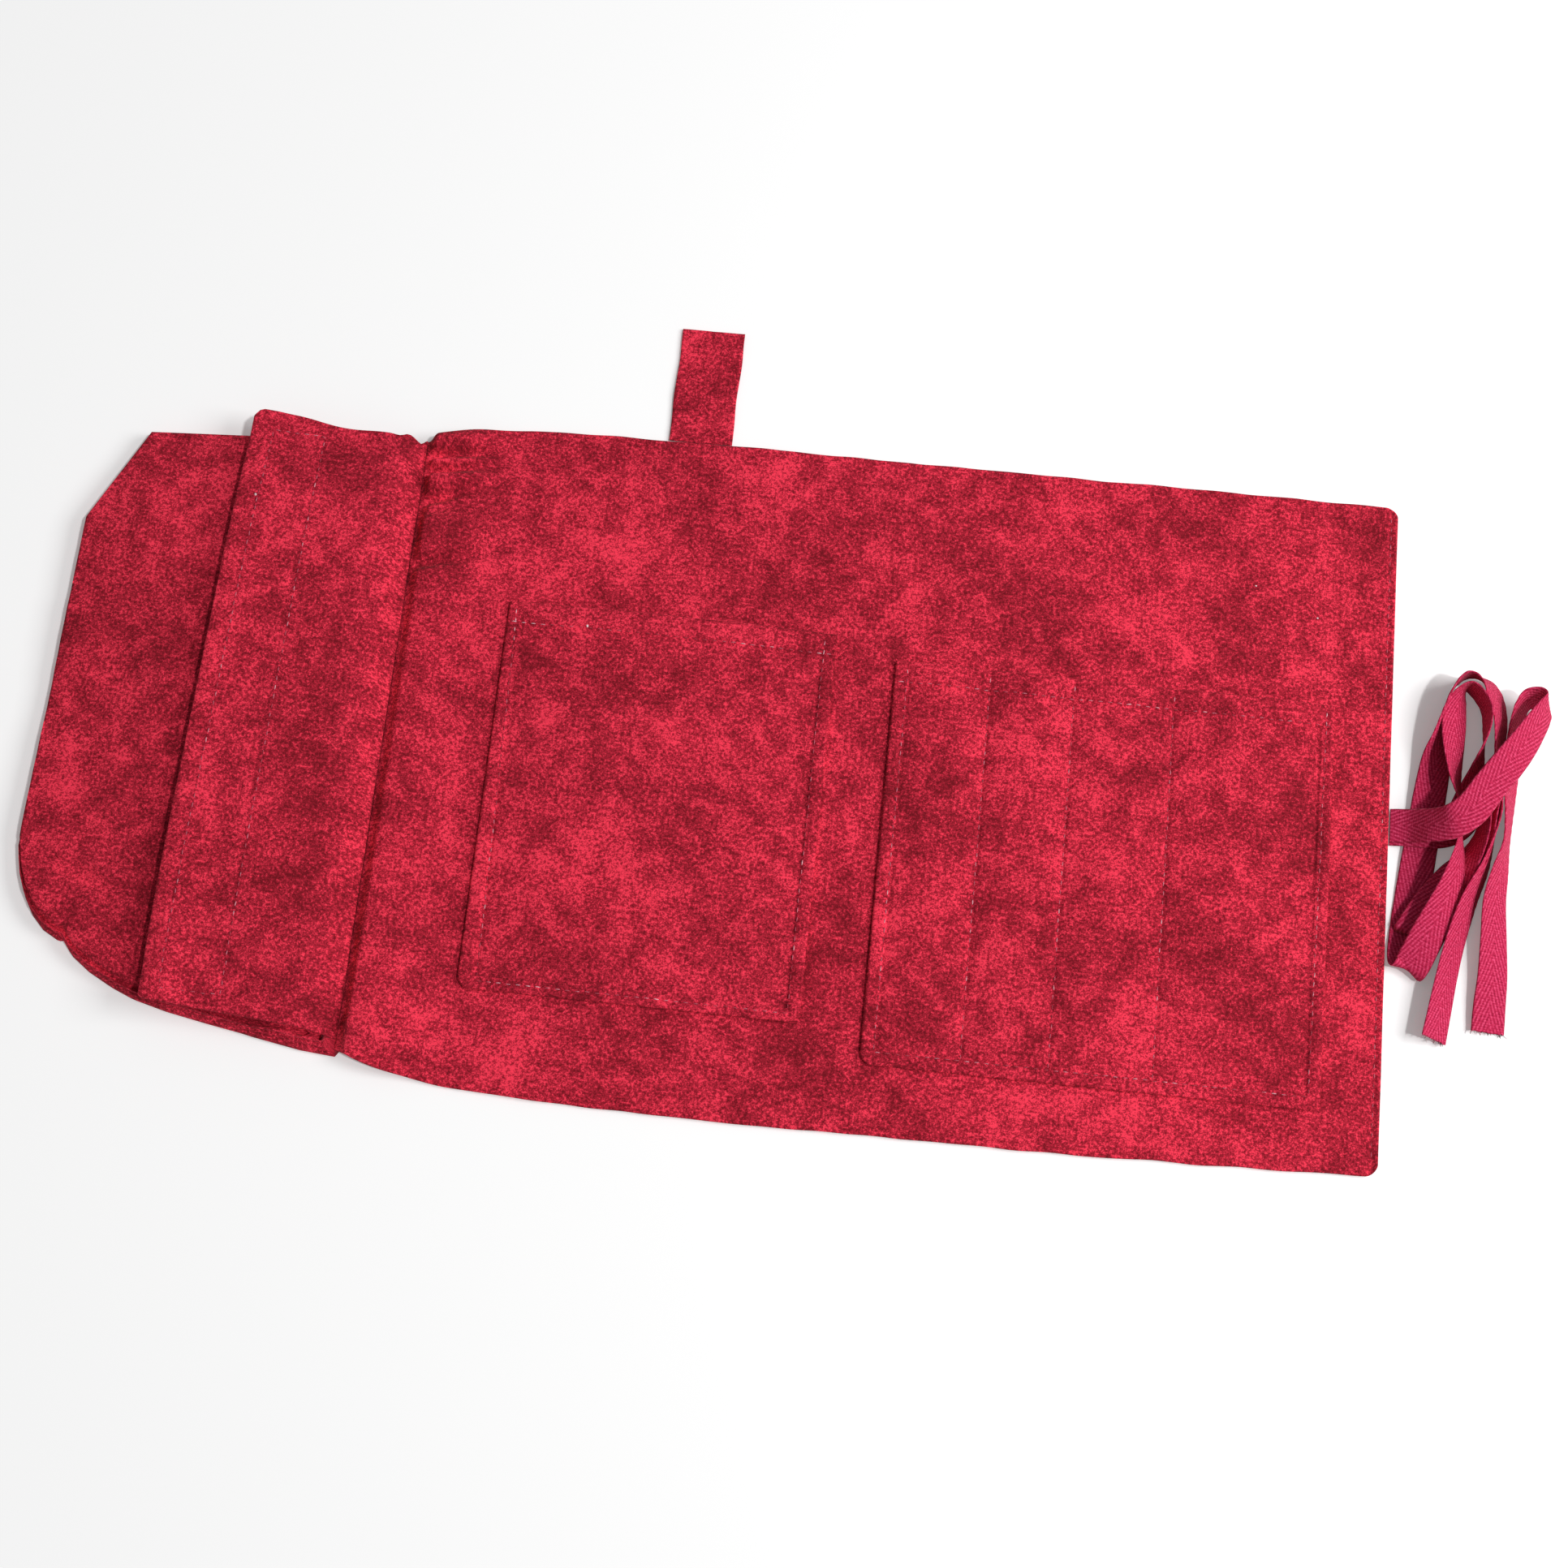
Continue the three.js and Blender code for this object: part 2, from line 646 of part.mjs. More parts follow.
// A flat tape swept along its route, as an eight-sided ribbon with eased edges.
function tape(route, steps) {
  const spots = route.map(([x, y, z]) => new THREE.Vector3(rightEdge + x, TIE_SHIFT + y, z));
  const middle = new THREE.CatmullRomCurve3(spots, false, 'catmullrom', 0.5);
  const leans = route.map(([, , , facing, rise]) => new THREE.Vector3(facing, rise, 0));
  const lean = new THREE.CatmullRomCurve3(leans, false, 'catmullrom', 0.5);
  const w = TAPE_WIDTH / 2;
  const t = TAPE_THICK / 2;
  const rim = TAPE_EDGE_SHARE * t;
  const section = [
    [w, rim],
    [w - t, t],
    [t - w, t],
    [-w, rim],
    [-w, -rim],
    [t - w, -t],
    [w - t, -t],
    [w, -rim],
  ];
  const positions = [];
  const indices = [];
  const sides = section.length;
  for (let i = 0; i <= steps; i += 1) {
    const at = middle.getUtoTmapping(i / steps);
    const centre = middle.getPoint(at);
    const tangent = middle.getTangent(at);
    const turn = lean.getPoint(at);
    const facing = THREE.MathUtils.degToRad(turn.x);
    const rise = THREE.MathUtils.degToRad(turn.y);
    const level = Math.cos(rise);
    const edge = new THREE.Vector3(level * Math.cos(facing), level * Math.sin(facing), Math.sin(rise));
    edge.addScaledVector(tangent, -edge.dot(tangent)).normalize();
    const face = new THREE.Vector3().crossVectors(tangent, edge);
    for (const [across, up] of section) {
      const corner = centre.clone().addScaledVector(edge, across).addScaledVector(face, up);
      positions.push(corner.x, corner.y, corner.z);
    }
  }
  for (let i = 0; i < steps; i += 1) {
    for (let k = 0; k < sides; k += 1) {
      const a = i * sides + k;
      const b = i * sides + ((k + 1) % sides);
      indices.push(a, b, b + sides, a, b + sides, a + sides);
    }
  }
  const last = steps * sides;
  for (let k = 1; k < sides - 1; k += 1) {
    indices.push(0, k + 1, k, last, last + k, last + k + 1);
  }
  const geometry = new THREE.BufferGeometry();
  geometry.setAttribute('position', new THREE.Float32BufferAttribute(positions, 3));
  geometry.setIndex(indices);
  return geometry;
}

// Assembly.
const group = new THREE.Group();

function addCloth(name, geometry, color) {
  geometry.computeVertexNormals();
  const material = new THREE.MeshStandardMaterial({ color, roughness: 0.9, metalness: 0 });
  const mesh = new THREE.Mesh(geometry, material);
  mesh.name = name;
  group.add(mesh);
}

addCloth('main_panel', mainPanel(), CRIMSON);
addCloth('dice_bag', diceBag(), DARK_CRIMSON);
addCloth('bag_flap', bagFlap(), CRIMSON);
addCloth('loop_strip', strip(0), STRIP_RED);
addCloth('hook_strip', strip(1), STRIP_RED);
addCloth('plain_pocket', plainPocket(), CRIMSON);
addCloth('divided_pocket', dividedPocket(), CRIMSON);
addCloth('edge_tab', edgeTab(), CRIMSON);
addCloth('tie_tail_front', tape(FRONT_TAIL, TAIL_FRONT_STEPS), RASPBERRY);
addCloth('tie_tail_back', tape(BACK_TAIL, TAIL_BACK_STEPS), RASPBERRY);

export default group;
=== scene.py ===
# %% [markdown]
# A roll-up dice pouch of printed quilting cotton, laid open on a white table. The bag on the left holds
# the dice, the flap closes it, the two patch pockets hold pencils and tokens, and the tie goes round
# the rolled pouch. Each piece is made from the sizes of the CAD model, which comes first as the frame.

# %% Load the frame
import math

import bpy
import numpy as np
from mathutils import Matrix, Vector, noise


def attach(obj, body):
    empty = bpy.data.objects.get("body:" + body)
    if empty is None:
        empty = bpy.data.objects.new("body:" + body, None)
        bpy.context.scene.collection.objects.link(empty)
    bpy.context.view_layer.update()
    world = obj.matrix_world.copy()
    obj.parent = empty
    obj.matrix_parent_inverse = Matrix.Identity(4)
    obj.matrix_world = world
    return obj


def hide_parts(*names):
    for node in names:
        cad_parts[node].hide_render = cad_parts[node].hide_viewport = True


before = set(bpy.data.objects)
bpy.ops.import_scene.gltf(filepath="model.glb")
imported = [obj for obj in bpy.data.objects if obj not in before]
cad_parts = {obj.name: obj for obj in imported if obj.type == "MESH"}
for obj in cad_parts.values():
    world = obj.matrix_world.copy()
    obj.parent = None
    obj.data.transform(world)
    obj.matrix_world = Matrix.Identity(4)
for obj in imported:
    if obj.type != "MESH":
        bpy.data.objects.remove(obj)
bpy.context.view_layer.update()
MM = 0.001
print("CAD nodes:", ", ".join(sorted(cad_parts)))

# %% [markdown]
# The photograph looks down on the pouch from its near side, tilted by about sixteen degrees and
# turned a little. A camera is placed by a distance and three angles round the point it looks at,
# because each of them can then be changed alone.

# %% The camera
AZIMUTH = math.radians(0.78990825)
ELEVATION = math.radians(73.58904276)
ROLL = math.radians(5.14528884)
DISTANCE = 888.559 * MM
TARGET = Vector((-37.059, -6.032, 0)) * MM

tilt = math.pi / 2 - ELEVATION
turn = Matrix.Rotation(AZIMUTH, 4, "Z") @ Matrix.Rotation(tilt, 4, "X") @ Matrix.Rotation(ROLL, 4, "Z")
scene = bpy.context.scene
camera_data = bpy.data.cameras.new("photo_camera")
camera_data.sensor_width = 36
camera_data.lens = 55.9
camera_data.clip_start = 0.01
camera = bpy.data.objects.new("photo_camera", camera_data)
scene.collection.objects.link(camera)
camera.matrix_world = Matrix.Translation(TARGET) @ turn @ Matrix.Translation((0, 0, DISTANCE))
scene.camera = camera
scene.render.resolution_x = 1024
scene.render.resolution_y = 1024
scene.view_settings.view_transform = "Standard"
print("Camera at", [round(c, 3) for c in camera.location])

# %% [markdown]
# Every piece is cloth or yarn, so a few small helpers are enough. For meshes, one makes a piece from
# points and faces with a UV map in real size, and one gives it its material and its place in the
# frame. For materials, one adds a shader node, and the short ones after it are built on that one.

# %% Helpers for meshes
UV_PER_MM = 0.01


def make_piece(name, points, faces, uvs=None):
    """A smooth mesh object at the origin, points and uvs in mm. Left out, the uvs are x and y."""
    points = np.asarray(points)
    uvs = points[:, :2] if uvs is None else np.asarray(uvs)
    mesh = bpy.data.meshes.new(name)
    mesh.from_pydata((points * MM).tolist(), [], faces)
    layer = mesh.uv_layers.new(name="UVMap")
    corners = np.empty(len(mesh.loops), dtype=np.int32)
    mesh.loops.foreach_get("vertex_index", corners)
    layer.data.foreach_set("uv", (uvs * UV_PER_MM)[corners].astype(np.float32).ravel())
    mesh.polygons.foreach_set("use_smooth", [True] * len(mesh.polygons))
    mesh.update()
    obj = bpy.data.objects.new(name, mesh)
    scene.collection.objects.link(obj)
    return obj


def join_frame(obj, material, slot, *nodes):
    """Gives a finished piece its material and puts it in the place of its CAD nodes. slot is not used."""
    obj.data.materials.append(material)
    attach(obj, "root")
    if nodes:
        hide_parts(*nodes)
    print(f"{obj.name}: {len(obj.data.polygons)} faces")


def take_primitive():
    """Points and faces of the primitive that was just added, which is then removed."""
    obj = bpy.context.object
    points = np.array([v.co[:] for v in obj.data.vertices])
    faces = [tuple(p.vertices) for p in obj.data.polygons]
    bpy.data.objects.remove(obj)
    return points, faces


def distances(points):
    """Distance along a line of points, from its first one to each."""
    legs = np.linalg.norm(np.diff(np.array(points, float), axis=0), axis=1)
    return np.concatenate([[0], np.cumsum(legs)])


# %% Helpers for materials
def srgb(text):
    """A colour written as sRGB hex, turned to the linear values that Blender works in."""
    parts = [int(text[i:i + 2], 16) / 255 for i in (1, 3, 5)]
    linear = [c / 12.92 if c <= 0.04045 else ((c + 0.055) / 1.055) ** 2.4 for c in parts]
    return (*linear, 1)


def add_node(tree, kind, settings=None):
    """Adds a node. settings are its properties and its inputs, and an input given as a socket is linked."""
    node = tree.nodes.new(kind)
    for key, value in (settings or {}).items():
        if isinstance(value, bpy.types.NodeSocket):
            tree.links.new(value, node.inputs[key])
        elif isinstance(key, str) and hasattr(node, key):
            setattr(node, key, value)
        else:
            node.inputs[key].default_value = value
    return node


def calculate(tree, operation, *values):
    """The result of a Math node. Each value is a number or a socket."""
    return add_node(tree, "ShaderNodeMath", {"operation": operation, **dict(enumerate(values))}).outputs[0]


def add_noise(tree, place, size, settings):
    """Noise with bumps of that size in mm, over a place in the units of the UV map."""
    settings = {"Vector": place, "Scale": 1 / (size * UV_PER_MM), **settings}
    return add_node(tree, "ShaderNodeTexNoise", settings).outputs["Fac"]


def add_ramp(tree, value, stops):
    """Turns a value to a colour. stops are pairs of a position and an sRGB hex colour."""
    node = add_node(tree, "ShaderNodeValToRGB", {"Fac": value})
    elements = node.color_ramp.elements
    while len(elements) < len(stops):
        elements.new(1)
    for element, (position, colour) in zip(elements, stops):
        element.position = position
        element.color = srgb(colour)
    return node.outputs["Color"]


def add_bump(tree, height, strength, depth):
    """The normal of a surface with that relief, its depth in mm."""
    settings = {"Height": height, "Strength": strength, "Distance": depth * MM}
    return add_node(tree, "ShaderNodeBump", settings).outputs["Normal"]


def add_shader(tree, settings):
    """The principled shader, joined to the material's output."""
    shader = add_node(tree, "ShaderNodeBsdfPrincipled", settings)
    add_node(tree, "ShaderNodeOutputMaterial", {"Surface": shader.outputs["BSDF"]})


def new_material(name):
    """A material with an empty node tree."""
    material = bpy.data.materials.new(name)
    material.use_nodes = True
    material.node_tree.nodes.clear()
    return material, material.node_tree


# %% [markdown]
# The tie is cotton twill tape, 12.7 mm wide, woven as herringbone: its ribs leave the middle line at
# about 20 degrees, 1.3 mm apart, and each rib is a row of small dots where a warp thread comes up. The
# ribs catch the light, so they are drawn twice, as a small relief in the mesh and as colour and bump
# in the material. Both follow the piece's own UV map, across and along the tape.

# %% Material of the tie: herringbone twill tape
RIB_PITCH = 1.3
RIB_ANGLE = math.radians(20)
RIB_ACROSS = 2 * math.pi * math.cos(RIB_ANGLE) / RIB_PITCH
RIB_ALONG = 2 * math.pi * math.sin(RIB_ANGLE) / RIB_PITCH
WEFT_ROW = 0.9
YARN_DOT = 0.9
# How much the ribs, partly the twill's pattern and partly a painted highlight, and the rows of weft add to
# the tone of the yarn.
RIB_PATTERN_AND_HIGHLIGHT = 0.13
ROW_TONE = 0.05


def twill_tape_material():
    """Raspberry yarn with matt fibres, lighter on the ribs as partly the twill's pattern and partly a
    painted highlight, so the herringbone shows in even light.
    """
    material, tree = new_material("cotton_twill_tape")
    uv = add_node(tree, "ShaderNodeUVMap", {"uv_map": "UVMap"}).outputs["UV"]
    parts = add_node(tree, "ShaderNodeSeparateXYZ", {"Vector": uv}).outputs
    # The ribs lean away from the middle line on both sides of it, so the distance from it is used.
    across = calculate(tree, "MULTIPLY", calculate(tree, "ABSOLUTE", parts["X"]), RIB_ACROSS / UV_PER_MM)
    phase = calculate(tree, "MULTIPLY_ADD", parts["Y"], -RIB_ALONG / UV_PER_MM, across)
    row_phase = calculate(tree, "MULTIPLY", parts["Y"], 2 * math.pi / (WEFT_ROW * UV_PER_MM))
    # Yarn is uneven, so the dots of the ribs are lighter and darker by chance.
    yarn = add_noise(tree, uv, YARN_DOT, {"Detail": 3, "Roughness": 0.6})
    # The lighter tone of the ribs is partly the weave's pattern and partly a painted highlight where they
    # catch the light.
    ribbed = calculate(tree, "MULTIPLY_ADD", calculate(tree, "SINE", phase), RIB_PATTERN_AND_HIGHLIGHT, yarn)
    tone = calculate(tree, "MULTIPLY_ADD", calculate(tree, "SINE", row_phase), ROW_TONE, ribbed)
    add_shader(tree, {
        "Base Color": add_ramp(tree, tone, [(0.22, "#8c0d32"), (0.5, "#bd234c"), (0.8, "#e24f79")]),
        "Normal": add_bump(tree, tone, 0.6, 0.2),
        "Roughness": 0.85,
        "Specular IOR Level": 0.15,
        "Sheen Weight": 0.05,
        "Sheen Roughness": 0.5,
    })
    return material


tape_cotton = twill_tape_material()
print("Material", tape_cotton.name, "with", len(tape_cotton.node_tree.nodes), "nodes")

# %% [markdown]
# Two tails of one tape leave the seam at the right-hand end. The tape is limp and thin, so it stands
# on its edge in the bends, lies flat in the straights and folds sharply back on itself. Its route is
# a list of places, each with the way one edge of the tape points and how steeply that edge rises.

# %% Route of the tie
PANEL_LENGTH = 368
CREASE = -PANEL_LENGTH / 2
RIGHT_EDGE = PANEL_LENGTH / 2
TIE_SHIFT = 1
FRONT_TAIL = [
    (0.4, 0.5, 1.5, 90, 0),
    (7, 0.5, 4, 90, 0),
    (13, -0.5, 11, 90, 0),
    (19, 0, 16.6, 112, 2),
    (25.5, 5, 18.2, 135, 4),
    (32, 14.5, 18, 142, 8),
    (38.5, 23.5, 17.2, 142, 12),
    (44.5, 32, 15, 140, 22),
    (49.7, 40.2, 12.6, 138, 34),
    (53.8, 47, 10.6, 135, 46),
    (55.2, 50.8, 9.6, 130, 56),
    (53, 53, 8.2, 125, 60),
    (48.6, 52.6, 6.8, 135, 60),
    (46.2, 48.5, 5.8, 150, 56),
    (45.2, 42.5, 5.4, 165, 50),
    (44.2, 34, 5.2, 172, 48),
    (43.4, 25, 5.4, 176, 50),
    (42.8, 15, 5.8, 178, 56),
    (42.3, 5, 6.2, 178, 63),
    (41.6, -4, 6.2, 178, 64),
    (39.9, -14, 5.2, 178, 47),
    (38.4, -25, 4.2, 180, 34),
    (38.5, -38, 3.4, 182, 27),
    (38.6, -52, 2.5, 180, 19),
    (37.9, -63, 1.8, 180, 12),
    (37.5, -72.5, 1.3, 180, 8),
]
BACK_TAIL = [
    (0.5, -0.5, 0.6, 90, 0),
    (7, -0.5, 2, 90, 0),
    (20, 0.5, 2.1, 110, 0),
    (28, 8.5, 1.3, 145, 0),
    (31.4, 26, 5.6, 178, 58),
    (33.3, 38.5, 8, 180, 86),
    (32.7, 48.2, 8, 190, 90),
    (26.6, 55, 7.9, 190, 84),
    (22.9, 48.8, 7, 178, 46),
    (21.4, 37.5, 6.9, 178, 32),
    (22, 20, 7.8, 180, 54),
    (24.6, 2, 8.6, 175, 76),
    (22, -20, 10.4, 154, 34),
    (12.6, -42.5, 8, 153, 4),
    (7.8, -53, 4.4, 154, 0),
    (7.2, -45.5, 1, 168, 0),
    (10, -21, 0.7, 170, 0),
    (15.6, 21, 2.4, 172, 13),
    (17.9, 36.5, 5.3, 180, 46),
    (19.5, 51, 7.6, 182, 82),
    (25.4, 58.8, 7.9, 200, 78),
    (34.6, 56, 6.6, 212, 48),
    (38.6, 45, 6.4, 188, 50),
    (37.4, 29, 7.8, 178, 64),
    (33.8, 12, 8.8, 175, 86),
    (32.3, 0, 8.4, 160, 100),
    (28.4, -9.6, 6.8, 148, 122),
    (21.4, -19.6, 4.5, 145, 160),
    (13, -31.6, 4.5, 148, 178),
    (8.5, -40, 3.4, 150, 178),
    (14.4, -32.5, 2.2, 148, 180),
    (23.4, -20.6, 2.8, 145, 164),
    (31.2, -9, 5.8, 145, 122),
    (35, 6, 8.2, 165, 100),
    (36.8, 14, 8.6, 180, 92),
    (37.8, 5, 8.2, 180, 84),
    (34.4, -11.5, 7, 175, 66),
    (28.2, -27.5, 5.8, 169, 50),
    (22.9, -47.5, 4.8, 169, 42),
    (17.6, -77.5, 4.2, 170, 33),
]


def smooth_line(values, samples):
    """A smooth curve through rows of values, the same kind that the CAD model uses."""
    rows = np.array(values, float)
    first = 2 * rows[0] - rows[1]
    last = 2 * rows[-1] - rows[-2]
    padded = np.vstack([first, rows, last])
    spans = len(rows) - 1
    t = np.linspace(0, spans, samples)
    k = np.minimum(t.astype(int), spans - 1)
    f = (t - k)[:, None]
    a, b, c, d = padded[k], padded[k + 1], padded[k + 2], padded[k + 3]
    first_slope = 0.5 * (c - a)
    last_slope = 0.5 * (d - b)
    cubic = 2 * b - 2 * c + first_slope + last_slope
    square = -3 * b + 3 * c - 2 * first_slope - last_slope
    return ((cubic * f + square) * f + first_slope) * f + b


def tape_line(route, step):
    """Places, edge directions and distances along a tail, evenly spaced by about that step."""
    shifted = [(RIGHT_EDGE + x, TIE_SHIFT + y, z, facing, rise) for x, y, z, facing, rise in route]
    fine = smooth_line(shifted, 6000)
    run = distances(fine[:, :3])
    even = np.linspace(0, run[-1], int(run[-1] / step) + 1)
    spots = np.array([np.interp(even, run, fine[:, k]) for k in range(5)]).T
    return spots, even


for label, route in (("front", FRONT_TAIL), ("back", BACK_TAIL)):
    print(f"The {label} tail is {tape_line(route, 1)[1][-1]:.1f} mm long")

# %% [markdown]
# The tape is swept along its route as a ribbon 0.7 mm thick with eased edges. Its mesh is fine enough
# for the ribs, which rise by a few hundredths of a millimetre, and for its edges, which waver because
# the weft pulls them in unevenly.

# %% The two tails
TAPE_WIDTH = 12.7
TAPE_THICK = 0.7
TAPE_STEP = 0.42
TAPE_ACROSS = 16
RIB_RELIEF = 0.05
SELVEDGE_WAVER = 0.16
SELVEDGE_WAVE = 5
END_SLIP = 0.5
PATH_STRIDE = 18


def tape_section():
    """Across the tape: distance from its middle and half thickness, on a rounded band."""
    half = TAPE_WIDTH / 2
    across = np.linspace(-1, 1, TAPE_ACROSS + 1)
    across = np.sign(across) * (1 - (1 - np.abs(across)) ** 1.15)
    edge = np.clip((half - np.abs(across * half)) / (TAPE_THICK / 2), 0, 1)
    return across * half, TAPE_THICK / 2 * np.sqrt(1 - (1 - edge) ** 2)


def make_tail(name, route, seed):
    """One tail of the tie as a closed ribbon, with its path and the place and directions of its cut end."""
    spots, run = tape_line(route, TAPE_STEP)
    centre = spots[:, :3]
    tangent = np.gradient(centre, axis=0)
    tangent /= np.linalg.norm(tangent, axis=1)[:, None]
    facing = np.radians(spots[:, 3])
    rise = np.radians(spots[:, 4])
    edge = np.column_stack([np.cos(rise) * np.cos(facing), np.cos(rise) * np.sin(facing), np.sin(rise)])
    edge -= tangent * np.sum(edge * tangent, axis=1)[:, None]
    edge /= np.linalg.norm(edge, axis=1)[:, None]
    face = np.cross(tangent, edge)
    across, half_thick = tape_section()
    top = np.arange(len(across))
    ring = [(across[k], half_thick[k], 1) for k in top[::-1]]
    ring += [(across[k], half_thick[k], -1) for k in top[1:-1]]
    points = []
    uvs = []
    for i, distance in enumerate(run):
        waver = SELVEDGE_WAVER * noise.noise(Vector((distance / SELVEDGE_WAVE, seed, 0)))
        for offset, thick, side in ring:
            rib = math.sin(RIB_ACROSS * abs(offset) - RIB_ALONG * distance)
            relief = RIB_RELIEF * rib * min(thick / 0.3, 1)
            shift = offset * (1 + waver / TAPE_WIDTH)
            points.append(centre[i] + edge[i] * shift + face[i] * side * (thick + relief))
            uvs.append((offset, distance))
    count = len(ring)
    last = (len(run) - 1) * count
    # The cut end isn't straight: its yarns have slipped a little.
    for k, (offset, _, _) in enumerate(ring):
        points[last + k] += tangent[-1] * END_SLIP * noise.noise(Vector((offset * 1.7, seed * 5, 0)))
    faces = []
    for i in range(len(run) - 1):
        for k in range(count):
            a = i * count + k
            b = i * count + (k + 1) % count
            faces.append((a, b, b + count, a + count))
    faces.append(tuple(range(count - 1, -1, -1)))
    faces.append(tuple(range(last, last + count)))
    path = [tuple(p) for p in (centre[::PATH_STRIDE] * MM)]
    return make_piece(name, points, faces, uvs), path, (centre[-1], tangent[-1], edge[-1])


front_tail, front_path, front_end = make_tail("tie_front", FRONT_TAIL, 1)
back_tail, back_path, back_end = make_tail("tie_back", BACK_TAIL, 2)
join_frame(front_tail, tape_cotton, "twill_tape", "tie_tail_front")
join_frame(back_tail, tape_cotton, "twill_tape", "tie_tail_back")

# %% [markdown]
# A few yarns stick out of the two cut ends. Handled cotton greys there, so they are brownish grey.

# %% Frayed ends
FRAY_YARNS = 16
# A yarn's places along its length, each with its radius in mm, and the four corners round it.
YARN_TAPER = ((0, 0.2), (0.5, 0.17), (1, 0.08))
YARN_CORNERS = ((1, 0), (0, 1), (-1, 0), (0, -1))


def fibre_material(name, scale, detail, stops, roughness):
    """Dull loose fibres in uneven tones."""
    material, tree = new_material(name)
    place = add_node(tree, "ShaderNodeTexCoord").outputs["Object"]
    fuzz = add_node(tree, "ShaderNodeTexNoise", {"Vector": place, "Scale": scale, "Detail": detail})
    add_shader(tree, {"Base Color": add_ramp(tree, fuzz.outputs["Fac"], stops), "Roughness": roughness})
    return material


def make_fray(name, end, seed):
    """Short yarns, each a bent tapering bar, along the cut end of a tail."""
    centre, tangent, edge = end
    face = np.cross(tangent, edge)
    draw = np.random.default_rng(seed)
    points = []
    faces = []
    for _ in range(FRAY_YARNS):
        root = centre + edge * draw.uniform(-6, 6) - tangent * 0.4
        aim = tangent + edge * draw.normal(0, 0.7) + face * draw.normal(0, 0.15)
        reach = draw.uniform(0.6, 2)
        first = len(points)
        for t, radius in YARN_TAPER:
            middle = root + aim * reach * t + edge * draw.normal(0, 0.12)
            points += [middle + radius * (a * edge + b * face) for a, b in YARN_CORNERS]
        for k in (0, 4):
            for m in range(4):
                low, low_next = first + k + m, first + k + (m + 1) % 4
                faces.append((low, low_next, low_next + 4, low + 4))
        faces.append(tuple(first + i for i in (3, 2, 1, 0)))
        faces.append(tuple(first + i for i in (8, 9, 10, 11)))
    return make_piece(name, points, faces)


# Dull yarn with no shine, so the tips read as loose cotton and not as tape.
greyed_yarn = fibre_material("greyed_cotton_yarn", 900, 1,
                             [(0.4, "#4a3a3c"), (0.55, "#8a5a60"), (0.65, "#b04a62")], 0.95)
join_frame(make_fray("tie_front_fray", front_end, 3), greyed_yarn, "twill_tape")
join_frame(make_fray("tie_back_fray", back_end, 8), greyed_yarn, "twill_tape")
print("Yarns at each cut end:", FRAY_YARNS)

# %% [markdown]
# The cloth is quilting cotton with a mottled print. The printer lays bright and dark specks of about
# a millimetre over a crimson ground, and gathers them in clouds some 9 mm wide. The weave below is
# plain, with about 25 threads to the centimetre. At the size of the picture a thread is finer than a
# pixel, so slubs, which are threads that run thick for a few millimetres, carry the weave to the eye.

# %% Material of the cloth: printed quilting cotton
THREAD_PITCH = 0.4
SPECK = 1.3
CLOUD = 9
DRIFT = 45
# How much the clouds and the slow drift push the tone of the specks.
CLOUD_TONE = 0.45
DRIFT_TONE = 0.3
# How much shorter a slub is across its thread than along it.
SLUB = 0.12


def printed_cotton_material():
    """Matt crimson cotton: the print gives its mottled colour, the weave a fine grain in tone and relief."""
    material, tree = new_material("printed_quilting_cotton")
    place = add_node(tree, "ShaderNodeUVMap", {"uv_map": "UVMap"}).outputs["UV"]
    speck = add_noise(tree, place, SPECK, {"Detail": 2, "Roughness": 0.95})
    cloud = add_noise(tree, place, CLOUD, {"Detail": 4, "Roughness": 0.6, "Distortion": 0.5})
    drift = add_noise(tree, place, DRIFT, {"Detail": 1})
    # Specks alone, then pushed up and down by the clouds and, less, by a slow drift of tone.
    clouded = calculate(tree, "MULTIPLY_ADD", cloud, CLOUD_TONE, speck)
    print_tone = calculate(tree, "MULTIPLY_ADD", drift, DRIFT_TONE, clouded)
    level = add_node(tree, "ShaderNodeMapRange", {"Value": print_tone, "From Min": 0.62, "From Max": 1.12})
    print_colour = add_ramp(tree, level.outputs["Result"], [
        (0.18, "#74101d"), (0.36, "#97192a"), (0.5, "#b02136"), (0.62, "#cf2a40"), (0.76, "#ff3d57")])
    # Threads run both ways. Each set is noise stretched along it, so a thread is uneven.
    threads = []
    for stretch in ((1, SLUB, 1), (SLUB, 1, 1)):
        along = add_node(tree, "ShaderNodeMapping", {"Scale": stretch, "Vector": place})
        threads.append(add_noise(tree, along.outputs["Vector"], THREAD_PITCH, {"Detail": 2}))
    weave = calculate(tree, "MAXIMUM", *threads)
    shade = add_node(tree, "ShaderNodeMapRange", {
        "Value": weave, "From Min": 0.4, "From Max": 0.75, "To Min": 0.84, "To Max": 1.1})
    colour = add_node(tree, "ShaderNodeMix", {
        "data_type": "RGBA", "blend_type": "MULTIPLY", "Factor": 1,
        "A": print_colour, "B": shade.outputs["Result"]})
    add_shader(tree, {
        "Base Color": colour.outputs[2],
        "Normal": add_bump(tree, weave, 0.35, 0.12),
        "Roughness": 0.9,
        "Specular IOR Level": 0.12,
        "Sheen Weight": 0.03,
        "Sheen Roughness": 0.5,
    })
    return material


cotton = printed_cotton_material()
print("Material", cotton.name, "with", len(cotton.node_tree.nodes), "nodes")

# %% [markdown]
# A flat sewn piece is a closed sheet: a grid of points for its top and one for its underside, which
# share the points of the rim, so that the turned edge is round. The grid is close near the rim and
# near each seam, where the cloth bends most, and open elsewhere.

# %% Helpers for cloth
# Distances of the grid's lines from a rim and from a seam, in mm.
RIM = (0, 0.08, 0.25, 0.5, 0.9, 1.5)
SEAM = (-2, -1.4, -0.9, -0.5, 0, 0.5, 0.9, 1.4, 2)


